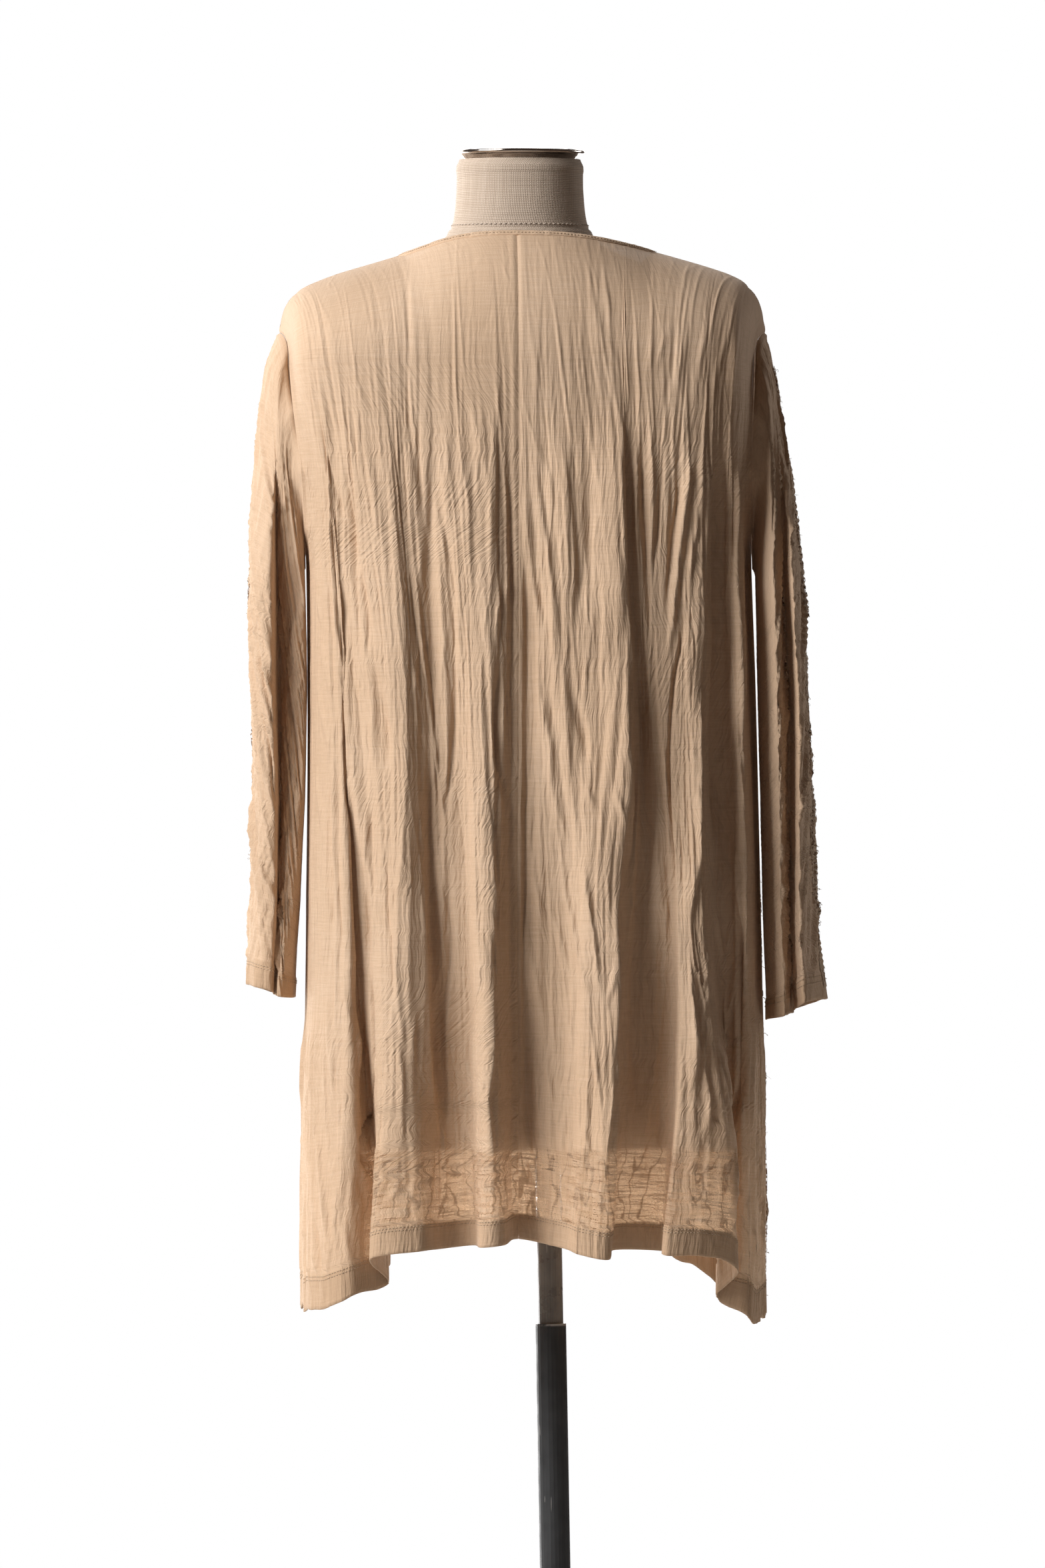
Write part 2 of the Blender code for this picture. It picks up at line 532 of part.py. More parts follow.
def armhole_loop(back_edge, front_edge):
    """Values round an armhole: down its back edge and up its front edge, on the facets."""
    loop = np.concatenate([back_edge, front_edge[-2:0:-1]])
    following = np.roll(loop, -1, axis=0)
    shares = np.arange(SLEEVE_CELLS)[None, :, None] / SLEEVE_CELLS
    return (loop[:, None] * (1 - shares) + following[:, None] * shares).reshape(-1, 3)


def below_neck(grid, columns, by):
    """Points by a length below the neckline at its columns. At both ends they lie on the shoulder seams."""
    towards = grid[1, columns].copy()
    towards[0] = grid[0, columns[0] - 1]
    towards[-1] = grid[0, columns[-1] + 1]
    return grid[0, columns] + by * unit(towards - grid[0, columns])


def binding_mesh(back, back_normals, back_neck, front, front_normals, front_neck):
    """A narrow band that carries the panels on to the neckline, all round."""
    inner = front_neck[1:-1]
    edge = np.concatenate([back[0, back_neck], front[0, inner]])
    front_low = below_neck(front, front_neck, BAND_WIDE)[1:-1]
    low = np.concatenate([below_neck(back, back_neck, BAND_WIDE), front_low])
    normals = np.concatenate([back_normals[0, back_neck], front_normals[0, inner]])
    grid = np.stack([edge, low]) + normals * BAND_PROUD
    return wall_mesh(grid, np.stack([normals, normals]), BAND_THICK, closed=True)


def on_facets(grid, column, share, rows):
    """Points on a grid's facets: in one column of cells, at a share of its width and the places rows."""
    above = np.clip(np.floor(rows).astype(int), 0, len(grid) - 2)
    down = (rows - above)[:, None]
    beside = (column + 1) % grid.shape[1]
    a, b = grid[above, column], grid[above, beside]
    f, e = grid[above + 1, column], grid[above + 1, beside]
    lower, upper = a + down * (f - a) + share * (e - f), a + share * (b - a) + down * (e - b)
    return np.where(share <= down, lower, upper)


def fray_mesh(grid, normals, fray, seed):
    """A narrow strip that lies on one column of a piece's facets, with strands fused into one edge of it.

    A strand has four sides. It starts as a whole cell of the strip's rim, stands away from the cloth,
    droops and tapers to its tip."""
    column, shares, (first_row, last_row), edge, spacing, lengths = fray
    rng = np.random.default_rng(seed)
    probe = np.linspace(first_row, last_row, 200)
    line = on_facets(grid, column, shares[edge], probe)
    run = np.concatenate([[0], np.cumsum(np.linalg.norm(np.diff(line, axis=0), axis=1))])
    count = int(run[-1] / spacing)
    starts = (np.arange(count) + 0.5) * run[-1] / count
    stops = np.sort(np.concatenate([[0, run[-1]], starts, starts + FRAY_ROOT]))
    rows = np.interp(stops, run, probe)
    pair = np.stack([on_facets(grid, column, share, rows) for share in shares], axis=1)
    lie = np.stack([on_facets(normals, column, share, rows) for share in shares], axis=1)
    lie = np.repeat(unit(lie.sum(axis=1, keepdims=True)), 2, axis=1)
    points, faces = wall_mesh(pair + lie * (FRAY_GAP + FRAY_THICK), lie, FRAY_THICK)

    # Each strand's root: two points of the outer face and two of the inner one
    top = np.arange(1, 2 * count, 2) * 2 + edge
    roots = np.stack([top, top + 2, top + 2 + 2 * len(rows), top + 2 * len(rows)], axis=1)
    is_root = np.zeros(len(faces), bool)
    for root in roots:
        is_root |= np.isin(faces, root).all(axis=1)
    if edge == 0:
        roots = roots[:, ::-1]
    corners = points[roots]
    middle = corners.mean(axis=1, keepdims=True)
    along = unit(pair[1 : 2 * count : 2, edge] - pair[1 : 2 * count : 2, 1 - edge])
    lean = rng.uniform(0.5, 1.1, (count, 1))
    way = unit(along + lean * lie[1 : 2 * count : 2, 0])[:, None]
    reach = np.interp(starts, np.linspace(0, run[-1], len(lengths)), lengths)
    reach = (reach * rng.uniform(0.55, 1.2, count))[:, None, None]
    drop = np.array([0.0, 0.0, -1.0])
    tips = middle + way * reach + drop * reach * 0.3 + (corners - middle) * 0.4
    tip = len(points) + np.arange(4 * count).reshape(count, 4)
    points = np.concatenate([points, tips.reshape(-1, 3)])
    root_next, tip_next = np.roll(roots, -1, axis=1), np.roll(tip, -1, axis=1)
    strands = [np.stack([roots, root_next, tip_next], -1), np.stack([roots, tip_next, tip], -1)]
    strands += [tip[:, None, [0, 1, 2]], tip[:, None, [0, 2, 3]]]
    return points, np.concatenate([faces[~is_root], *(part.reshape(-1, 3) for part in strands)])


def neck_columns(panel):
    """Columns of a panel's grid from one shoulder seam's inner end to the other's."""
    lines = spaced(panel.cells)
    columns = np.flatnonzero((lines >= panel.neck[0]) & (lines <= panel.neck[1]))
    return columns if panel.facing < 0 else len(lines) - 1 - columns[::-1]


def cut_panel(grid, neck, first, last):
    """The part of a panel between two of its columns, eased at its seams and cut back for the binding."""
    eased = grid.copy()
    eased[0, neck] = below_neck(grid, neck, BAND_WIDE + BAND_GAP)
    shoulder = np.setdiff1d(np.arange(grid.shape[1]), neck[1:-1])
    eased[0, shoulder] += SHOULDER_EASE * unit(grid[1, shoulder] - grid[0, shoulder])
    eased = eased[:, first : last + 1]
    ease(eased[:, 0], eased[:, 1], SEAM_EASE)
    ease(eased[:, -1], eased[:, -2], SEAM_EASE)
    return eased


def sleeve_with_seam(side, back, back_normals, front, front_normals):
    """A sleeve's grid and normals. Its first row lies on the armhole's facets, and shares their normals."""
    left = side == "left"
    folds = LEFT_SLEEVE_FOLDS if left else RIGHT_SLEEVE_FOLDS
    sides = LEFT_SLEEVE_SIDES if left else RIGHT_SLEEVE_SIDES
    down, up = (0, -1) if left else (-1, 0)  # the armhole's columns of the back and of the front
    rows = len(ARMHOLE_ROWS)
    loop = armhole_loop(back[:rows, down], front[:rows, up])
    places = np.arange(len(loop)) / SLEEVE_CELLS
    grid = sleeve_grid(loop, sides, folds, places, np.array(SLEEVE_ROWS))
    grid = with_hem(grid, sleeve_grid(loop, sides, folds, places, np.array([1.0]))[0])
    normals = outward(grid, closed=True) * (1 if left else -1)
    seam = unit(armhole_loop(back_normals[:rows, down], front_normals[:rows, up]))
    share_in_ridges(seam, normals[0], grid[1] - grid[0])
    whole = seam[::SLEEVE_CELLS]
    back_normals[:rows, down] = whole[:rows]
    front_normals[:rows, up] = np.concatenate([whole[:1], whole[rows:][::-1], whole[rows - 1 : rows]])
    return (grid, normals) if left else (grid[:, ::-1], normals[:, ::-1])


def make_tunic(cloth, trim, collection):
    back, front = whole_panel(BACK), whole_panel(FRONT)
    back_neck, front_neck = neck_columns(BACK), neck_columns(FRONT)
    back_normals, front_normals = outward(back), outward(front)
    for normals, neck in ((back_normals, back_neck), (front_normals, front_neck)):
        shoulder = np.setdiff1d(np.arange(normals.shape[1]), neck[1:-1])
        normals[0, shoulder] = unit(normals[0, shoulder] * np.array([1.0, 0.0, 1.0]))
    under = len(ARMHOLE_ROWS) - 1
    share(back_normals[under:, 0], front_normals[under:, -1])
    share(back_normals[under:, -1], front_normals[under:, 0])
    sleeves = {
        side: sleeve_with_seam(side, back, back_normals, front, front_normals) for side in ("left", "right")
    }

    centre = int(np.flatnonzero(spaced(BACK.cells) == CENTRE_LINE)[0])
    last_back, last_front = back.shape[1] - 1, front.shape[1] - 1
    for name, grid, normals, neck, first, last in (
        ("back_left", back, back_normals, back_neck, 0, centre),
        ("back_right", back, back_normals, back_neck, centre, last_back),
        ("front", front, front_normals, front_neck, 0, last_front),
    ):
        piece = cut_panel(grid, neck, first, last)
        mesh = wall_mesh(piece, normals[:, first : last + 1], wall_of_rows(len(grid)))
        add_mesh(name, *mesh, cloth, collection)
    for side, (grid, normals) in sleeves.items():
        eased = grid.copy()
        eased[0, :, 0] += SEAM_EASE * (-1 if side == "left" else 1)
        ease(eased[0], eased[1], SEAM_EASE)
        mesh = wall_mesh(eased, normals, wall_of_rows(len(grid)), closed=True)
        add_mesh("sleeve_" + side, *mesh, cloth, collection)
    band = binding_mesh(back, back_normals, back_neck, front, front_normals, front_neck)
    add_mesh("neck_binding", *band, cloth, collection)
    carriers = {
        "fray_sleeve_left": sleeves["left"],
        "fray_sleeve_right": sleeves["right"],
        "fray_side_right": (front, front_normals),
    }
    make_frays(carriers, trim, collection)


def make_frays(carriers, trim, collection):
    """Frayed strips down each sleeve beside its outer fold and down the front's right side."""
    for name, (grid, normals) in carriers.items():
        points, faces = fray_mesh(grid, normals, FRAYS[name], FRAY_SEED)
        add_mesh(name, points, faces, trim, collection, smooth=False)


# --- the dress form and its stand -----------------------------------------------------------------------

def form_mesh():
    """Rings |x / width|^c + |y / depth|^c = 1, each with its own depths, closed at both ends."""
    angle = np.arange(FORM_SIDES) / FORM_SIDES * 2 * math.pi
    cos, sin = np.cos(angle), np.sin(angle)
    rings = []
    for z, wide, back, front in FORM_RINGS:
        x = wide * np.sign(cos) * np.abs(cos) ** (2 / FORM_CORNER)
        y = np.where(sin < 0, back, front) * np.sign(sin) * np.abs(sin) ** (2 / FORM_CORNER)
        rings.append(np.stack([x, y, np.full(FORM_SIDES, float(z))], axis=-1))
    grid = np.stack(rings)
    count = len(rings) * FORM_SIDES
    faces = triangles(len(rings), FORM_SIDES, 0, closed=True, flip=True).tolist()
    faces.append(list(range(FORM_SIDES))[::-1])
    faces.append(list(range(count - FORM_SIDES, count)))
    mesh = bpy.data.meshes.new("form_body")
    placed = (grid.reshape(-1, 3) + np.array([FORM_X, 0.0, 0.0])) * MM
    mesh.from_pydata(placed.tolist(), [], faces)
    mesh.update()
    mesh.shade_smooth()
    return mesh


def make_stand(linen, chrome, grey_paint, black_paint, collection, cutters):
    upright = Matrix.Translation((FORM_X * MM, 0, 0))
    leaning = Matrix.Rotation(-POLE_LEAN, 4, "Y")
    form = add_object("form_body", form_mesh(), linen, collection)
    cut(form, "form_socket", MAST_RADIUS + RUNNING_GAP, 600, MAST_TOP + RUNNING_GAP, leaning, cutters)
    add_turned("neck_cap", CAP_PROFILE, chrome, collection, upright)
    add_turned("mast", MAST_PROFILE, grey_paint, collection, leaning, sides=24)
    add_turned("outer_tube", TUBE_PROFILE, black_paint, collection, leaning, sides=24)
    foot = add_turned("foot_plate", FOOT_PROFILE, black_paint, collection, Matrix.Identity(4), sides=44)
    socket = TUBE_RADIUS + RUNNING_GAP
    cut(foot, "foot_socket", socket, TUBE_FLOOR - RUNNING_GAP, HUB_TOP + 10, leaning, cutters)


def main():
    for old in list(bpy.data.objects):
        bpy.data.objects.remove(old)
    scene = bpy.context.scene
    collection = bpy.data.collections.new("tunic_on_dress_form")
    cutters = bpy.data.collections.new("cutters")
    scene.collection.children.link(collection)
    scene.collection.children.link(cutters)
    cloth = material("crinkled_jersey", (0.50, 0.36, 0.24), 0.9)
    trim = material("frayed_yarn", (0.46, 0.31, 0.20), 0.9)
    linen = material("linen", (0.52, 0.43, 0.34), 0.85)
    chrome = material("chrome", (0.42, 0.38, 0.34), 0.2, 1.0)
    grey_paint = material("grey_paint", (0.07, 0.065, 0.06), 0.35)
    black_paint = material("black_paint", (0.03, 0.03, 0.032), 0.5)
    make_tunic(cloth, trim, collection)
    make_stand(linen, chrome, grey_paint, black_paint, collection, cutters)


main()
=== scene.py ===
"""Looks of a crinkled jersey tunic top that hangs on a linen dress form with a telescopic stand.

Sizes are in millimetres about the form's own middle line, with +Z up and the back of the tunic towards -Y.
They are turned into metres when a mesh is made. A cloth piece is a grid: its rows follow each other down the
cloth and its columns go round it. Its form comes from fold lines, and creases move it along its normals.
"""

import math
from collections import namedtuple

import bpy
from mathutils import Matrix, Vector
import numpy as np


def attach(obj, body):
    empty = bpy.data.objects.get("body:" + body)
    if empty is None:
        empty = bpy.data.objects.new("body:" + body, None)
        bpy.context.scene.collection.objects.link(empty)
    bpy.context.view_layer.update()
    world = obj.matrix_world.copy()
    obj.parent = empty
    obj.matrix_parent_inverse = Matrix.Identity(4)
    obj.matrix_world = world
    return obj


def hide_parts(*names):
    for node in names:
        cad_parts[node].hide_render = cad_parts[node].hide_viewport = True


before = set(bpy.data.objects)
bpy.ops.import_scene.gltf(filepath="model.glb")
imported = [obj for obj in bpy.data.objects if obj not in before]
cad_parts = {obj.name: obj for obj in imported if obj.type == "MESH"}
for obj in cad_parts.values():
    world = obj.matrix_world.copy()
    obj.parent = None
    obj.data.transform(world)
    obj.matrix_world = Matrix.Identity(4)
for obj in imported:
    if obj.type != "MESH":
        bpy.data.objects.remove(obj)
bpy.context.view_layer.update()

MM = 0.001
FORM_X = -34.6  # the form's middle line
FINE = 1.0  # columns and rows of the cloth, as a share of the full grid

# --- camera ---------------------------------------------------------------------------------------------

CAMERA_AT = (FORM_X * MM + 0.0022, -12.12, 0.938)
LENS, SENSOR_HIGH = 330.7, 36


def make_camera():
    data = bpy.data.cameras.new("camera")
    data.lens = LENS
    data.sensor_fit = "VERTICAL"
    data.sensor_height = SENSOR_HIGH
    made = bpy.data.objects.new("camera", data)
    made.location = CAMERA_AT
    made.rotation_euler = (math.pi / 2, 0, 0)
    bpy.context.scene.collection.objects.link(made)
    bpy.context.scene.camera = made


make_camera()

# --- sizes of the tunic ---------------------------------------------------------------------------------

HEM_DEEP, CUFF_HEM_DEEP = 27.0, 20.0
HEM_LAYER, HEM_ROLL = 1.1, 0.35  # how far the turned-up layer lies behind the outer one, its fold below it
YOKE_Z, UNDERARM_Z, SKIRT_Z = 1290.0, 1120.0, 725.0
SEAM_Y = 6.0  # the line of the shoulder seams
CORNER, CORNER_YOKE = 3.2, 1.6  # the plain outline's power, and what the back's yoke adds to it
# How far the yoke's creases lean to the right, by x
YOKE_SLANT_X = (-185, -120, -80, -50, 0, 50, 80, 108, 130, 180)
YOKE_SLANT = (0.20, 0.12, 0.0, 0.04, 0.05, 0.12, 0.08, 0.0, -0.15, -0.15)
# Levels of the fold lines, and the plain outline's depth at each
LEVELS = (1290.0, 1180.0, 1010.0, 840.0, 680.0, 540.0)
BACK_DEPTH = (118.0, 122.0, 127.0, 134.0, 142.0, 148.0)
FRONT_DEPTH = (106.0, 135.0, 142.0, 145.0, 149.0, 151.0)

# Fold lines: name, x at each level, how far each stands out at each level, height of its hem
BACK_FOLDS = (
    ("side_left", (-194, -182, -179, -180, -182, -184), (0, 0, 0, 0, 0, 0), 500),
    ("side_left_face", (-186, -174, -172, -172, -174, -174), (0, 2, 4, 5, 5, 3), 499),
    ("side_left_crest", (-173, -161, -152, -146, -144, -143), (0, 3, 4, 5, 6, 3), 511),
    ("tuck_left", (-160, -151, -144, -139, -127, -110), (0, -2, -3, -7, -26, -46), 521),
    ("plane_left_edge", (-137, -131, -117, -116, -116, -124), (0, 3, 6, 3, 11, 16), 543),
    ("plane_left_end", (-113, -109, -98, -95, -91, -82), (0.5, 3, 7, 8, 10, 12), 550),
    ("trough_left", (-92, -90, -76, -71, -67, -66), (1, -1, -4, -9, -19, -24), 551),
    ("trough_left_end", (-63, -62, -52, -46, -42, -39), (3.5, 1, -3, -10, -24, -27), 554),
    ("ridge_left", (-44, -44, -38, -36, -33, -32), (5, 3, 5, 6, 7, 6), 553),
    ("ridge_left_end", (-24, -24, -22, -23, -19, -13), (6.5, 3, 5, 6, 8, 4), 555),
    ("centre_back", (-1, -1, -1, -2, -1, -1), (6.4, -1, -7, -13, -24, -36), 559),
    ("flat_right", (29, 30, 30, 36, 38, 36), (6, 1, 0, -10, -12, -6), 552),
    ("ridge_right", (56, 58, 62, 58, 56, 50), (4, 2, 4, 6, 7, 8), 547),
    ("ridge_right_end", (83, 86, 91, 81, 81, 73), (2, 3, 6, 7, 9, 11), 543),
    ("trough_right", (90, 92, 98, 92, 88, 78), (1.5, -2, -5, -9, -17, -25), 550),
    ("trough_right_end", (110, 112, 112, 123, 125, 118), (0.5, -1, -5, -15, -24, -28), 549),
    ("plane_right_edge", (123, 125, 128, 133, 134, 122), (0, 1, -2, -1, 5, 12), 546),
    ("plane_right_end", (150, 152, 150, 152, 170, 181), (0, 3, 3, 3, 3, 8), 536),
    ("tuck_right", (168, 169, 169, 169, 167, 165), (0, -2, -14, -20, -34, -48), 508),
    ("side_right_face", (184, 182, 187, 192, 192, 194), (0, 9, 12, 11, -8, -18), 490),
    ("side_right", (197, 194, 199, 203, 206, 207), (0, 0, 0, 0, 0, 0), 492),
)
FRONT_FOLDS = (
    ("side_left", (-194, -182, -179, -179, -182, -184), (0, 0, 0, 0, 0, 0), 500),
    ("front_left_face", (-181, -168, -166, -164, -160, -162), (0, 2, 4, 6, 8, 8), 505),
    ("front_tuck_left", (-160, -146, -134, -124, -116, -112), (0, -3, -8, -16, -30, -38), 528),
    ("front_plane_left", (-140, -126, -118, -116, -120, -122), (0, 3, 8, 10, 12, 14), 540),
    ("front_plane_left_end", (-112, -98, -88, -82, -80, -80), (0, 3, 8, 10, 12, 12), 548),
    ("front_trough_left", (-98, -84, -72, -66, -64, -62), (0, -3, -8, -14, -20, -24), 550),
    ("front_trough_left_end", (-66, -54, -46, -42, -38, -36), (0, -2, -6, -12, -18, -22), 552),
    ("front_ridge_mid", (-48, -38, -32, -28, -24, -22), (0, 2, 6, 9, 10, 10), 552),
    ("front_ridge_mid_end", (-14, -12, -6, -4, 0, 2), (0, 2, 6, 8, 8, 8), 554),
    ("front_trough_mid", (6, 6, 10, 12, 16, 18), (0, -2, -8, -14, -20, -26), 555),
    ("front_trough_mid_end", (44, 44, 48, 50, 52, 56), (0, -2, -6, -12, -18, -22), 552),
    ("front_plane_right", (62, 60, 62, 64, 68, 72), (0, 3, 8, 10, 12, 12), 549),
    ("front_plane_right_end", (100, 98, 98, 102, 108, 114), (0, 3, 8, 10, 12, 12), 545),
    ("front_tuck_right", (120, 118, 116, 118, 122, 128), (0, -3, -10, -16, -24, -30), 538),
    ("front_tuck_right_end", (156, 152, 150, 152, 156, 158), (0, -3, -8, -12, -18, -22), 520),
    ("front_right_face", (183, 176, 176, 180, 184, 188), (0, 2, 6, 8, 10, 10), 500),
    ("side_right", (197, 194, 199, 203, 206, 207), (0, 0, 0, 0, 0, 0), 492),
)
CENTRE_LINE = 10  # the fold line of the back's middle seam

# neck holds the fold lines of the neckline's corners
Panel = namedtuple("Panel", "folds depth facing neck")
BACK = Panel(BACK_FOLDS, BACK_DEPTH, -1, (6, 15))
FRONT = Panel(FRONT_FOLDS, FRONT_DEPTH, 1, (5, 12))

# Armhole: height, y of the back's edge, y of the front's edge, and the rows of a panel that its places lie on
ARMHOLE = ((1318, 6, 6), (1290, -34, 42), (1250, -60, 64), (1200, -66, 70), (1150, -42, 46), (1120, 0, 0))
ARMHOLE_ROWS = (0.0, 0.3, 0.55, 0.8, 1.0, 1.1, 1.2, 1 + (YOKE_Z - UNDERARM_Z) / (YOKE_Z - SKIRT_Z))
NECK_LEFT, NECK_RIGHT, NECK_CORNER, NECK_FRONT_Y = -100.0, 112.0, 2.6, 86.0
NECK_RISE = {-1: 21.0, 1: -59.0}  # how much higher the cloth would stand in the neck's middle, back and front
TIP_LEFT, TIP_RIGHT = -203.0, 207.0
EVEN_OVER, TIP_ROOM = 12.0, 14.0  # the shoulder line is evened out over this much, less near its tips
# The shoulder line and the sleeves' tips: x, height
TOP_EDGE = (
    (-203, 1318), (-201, 1334), (-197, 1345), (-188, 1354), (-156, 1367), (-111, 1380), (-89, 1387),
    (-67, 1395), (-44, 1399.5), (-25, 1401), (0, 1401), (28, 1400.5), (55, 1398), (83, 1393),
    (110, 1387), (156, 1374), (183, 1365), (198, 1355), (204, 1342), (207, 1318),
)

# Sleeves: height, x of the outer fold, x of the inner fold
LEFT_SLEEVE_SIDES = (
    (1318, -210, -204), (1290, -213.5, -197), (1258, -217, -192), (1203, -221, -186), (1147, -225, -183.2),
    (1036, -226, -181), (925, -223, -181), (840, -224, -184), (800, -226, -187), (760, -229, -189),
)
RIGHT_SLEEVE_SIDES = (
    (1318, 210, 207), (1290, 212.5, 202), (1258, 217, 199.5), (1203, 227, 198), (1147, 233, 197.6),
    (1036, 239, 200.0), (925, 245, 202.6), (840, 248, 204.4), (800, 252, 205.6), (758, 258, 207.4),
)
# Fold lines round a sleeve: name, share of the way to the outer fold and y, the same at the cuff, cuff's edge
LEFT_SLEEVE_FOLDS = (
    ("outer", 1.0, 5, 1.0, 4, 770),
    ("outer_back", 0.97, -32, 0.98, -22, 770),
    ("outer_lobe", 0.80, -54, 0.84, -42, 768),
    ("trough_edge", 0.57, -58, 0.50, -46, 765),
    ("trough", 0.48, -28, 0.43, -37, 762),
    ("inner_lobe_edge", 0.30, -37, 0.34, -45, 760),
    ("inner_lobe", -0.05, -38, 0.08, -34, 759),
    ("underarm", 0.0, -4, 0.0, -3, 759),
    ("inner_front", 0.07, 44, 0.04, 32, 759),
    ("front_inner_lobe", 0.27, 53, 0.22, 43, 760),
    ("front_trough", 0.46, 28, 0.46, 32, 762),
    ("front_outer_lobe", 0.67, 54, 0.70, 43, 765),
    ("outer_front", 0.91, 49, 0.93, 34, 768),
    ("outer_mid", 1.0, 29, 1.0, 20, 770),
)
RIGHT_SLEEVE_FOLDS = (
    ("outer", 1.0, 5, 1.0, 6, 757),
    ("outer_back", 0.98, -36, 0.98, -20, 758),
    ("outer_lobe", 0.82, -84, 0.64, -80, 756),
    ("trough_edge", 0.66, -66, 0.48, -62, 751),
    ("trough", 0.54, -62, 0.40, -54, 747),
    ("inner_lobe_edge", 0.36, -86, 0.26, -74, 744),
    ("inner_lobe", -0.02, -50, 0.0, -36, 741),
    ("underarm", 0.0, -4, 0.0, -1, 740),
    ("inner_front", 0.07, 44, 0.04, 28, 741),
    ("front_inner_lobe", 0.27, 53, 0.20, 41, 744),
    ("front_trough", 0.47, 29, 0.44, 31, 748),
    ("front_outer_lobe", 0.68, 54, 0.70, 43, 752),
    ("outer_front", 0.91, 49, 0.92, 36, 756),
    ("outer_mid", 1.0, 29, 1.0, 22, 757),
)
SLEEVE_FOLDS = {"left": LEFT_SLEEVE_FOLDS, "right": RIGHT_SLEEVE_FOLDS}
SLEEVE_SIDES = {"left": LEFT_SLEEVE_SIDES, "right": RIGHT_SLEEVE_SIDES}
SLEEVE_SPREAD, SLEEVE_DROP = 0.12, 1.25
HANG_Z, CUFF_Z = 1000.0, 765.0  # between them the folds go over to the cuff's
SMOOTH_Z, FOLDED_Z = 1235.0, 1105.0  # between them the plain tube goes over to the folds
SMOOTH_HALF_DEPTH = 60.0
SMOOTH_LINES, SMOOTH_ANGLES = (0, 4, 7, 10, 14), (0, 62, 180, 298, 360)

# --- curves and surfaces --------------------------------------------------------------------------------

def through(samples, at, closed=False):
    """A Catmull-Rom curve through samples[k] at k = 0, 1, 2 ..., read at the places at. samples is (n, m)."""
    count = len(samples)
    last = count if closed else count - 1
    first = np.clip(np.floor(at).astype(int), 0, last - 1)
    t = at - first
    weights = [-t + 2 * t**2 - t**3, 2 - 5 * t**2 + 3 * t**3, t + 4 * t**2 - 3 * t**3, t**3 - t**2]
    around = first + np.arange(-1, 3)[:, None]
    around = around % count if closed else np.clip(around, 0, count - 1)
    return (np.stack(weights) / 2 * np.take_along_axis(samples, around, axis=0)).sum(axis=0)


def curve(values, at, closed=False):
    """The same curve through one row of values that all the places share."""
    return through(np.repeat(np.array(values, float)[:, None], len(at), axis=1), at, closed)


def at_levels(values, z):
    return curve(values, np.interp(-z, [-level for level in LEVELS], np.arange(len(LEVELS))))


def unit(vectors):
    return vectors / np.maximum(np.linalg.norm(vectors, axis=-1, keepdims=True), 1e-9)


def smooth_step(low, high, value):
    """0 below low and 1 above high, as 3 t^2 - 2 t^3 between them."""
    t = np.clip((value - low) / (high - low), 0, 1)
    return t * t * (3 - 2 * t)


def bell(x, wide):
    """exp(-(x / wide)^2)."""
    return np.exp(-((x / wide) ** 2))


def running(steps):
    """The sum of the steps so far, from 0."""
    return np.concatenate([[0], np.cumsum(steps)])


def run_along(points):
    """Lengths along a line of points from its first one."""
    return running(np.linalg.norm(np.diff(points, axis=0), axis=1))


def armhole_y(z, facing):
    column = 1 if facing < 0 else 2
    return np.interp(-z, [-row[0] for row in ARMHOLE], [row[column] for row in ARMHOLE])


def hanging(panel, line, z):
    """Points of the hanging cloth at the places line between the fold lines, and at the heights z.

    The plain outline is |x / side|^c + |y / depth|^c = 1, and a fold line stands out from it."""
    x = np.stack([at_levels(fold[1], z) for fold in panel.folds])
    out = np.stack([at_levels(fold[2], z) for fold in panel.folds])
    side = np.where(x < 0, -x[0], x[-1])
    reach = np.clip(np.abs(x) / side, 0, 1)
    corner = CORNER + CORNER_YOKE * smooth_step(UNDERARM_Z, YOKE_Z, z) * (panel.facing < 0)
    y = panel.facing * (at_levels(panel.depth, z) * (1 - reach**corner) ** (1 / corner) + out)
    y[0] = y[-1] = armhole_y(z, panel.facing)
    return np.stack([through(x, line), through(y, line), z], axis=-1)


def top_edge(panel, line):
    """Where a panel's lines start on the line of the shoulder seams: x, height, and x as a share of the way
    to the neck's corner. The height is the table's, evened out over EVEN_OVER each way."""
    x_yoke = [fold[1][0] for fold in panel.folds]
    knots = [x_yoke[0], x_yoke[panel.neck[0]], x_yoke[panel.neck[1]], x_yoke[-1]]
    x = curve(np.interp(x_yoke, knots, [TIP_LEFT, NECK_LEFT, NECK_RIGHT, TIP_RIGHT]), line)
    edge_x, edge_z = zip(*TOP_EDGE)
    room = np.clip(np.minimum(x - TIP_LEFT, TIP_RIGHT - x) / TIP_ROOM, 0, 1)
    shifts = np.linspace(-EVEN_OVER, EVEN_OVER, 9)
    z = np.mean([np.interp(x + shift * room, edge_x, edge_z) for shift in shifts], axis=0)
    return x, z, np.clip(x / np.where(x < 0, NECK_LEFT, NECK_RIGHT), 0, 1)


def over_shoulder(t):
    """How far the cloth has come from the shoulder line at t: outwards, and how much of its rise is left.

    Both are cubic Bezier curves, with points 0, 0.6, 1, 1 outwards and 1, 0.95, 0.55, 0 in height."""
    out = 1.8 * t * (1 - t) ** 2 + 3 * t**2 * (1 - t) + t**3
    left = (1 - t) ** 3 + 2.85 * t * (1 - t) ** 2 + 1.65 * t**2 * (1 - t)
    return out, left


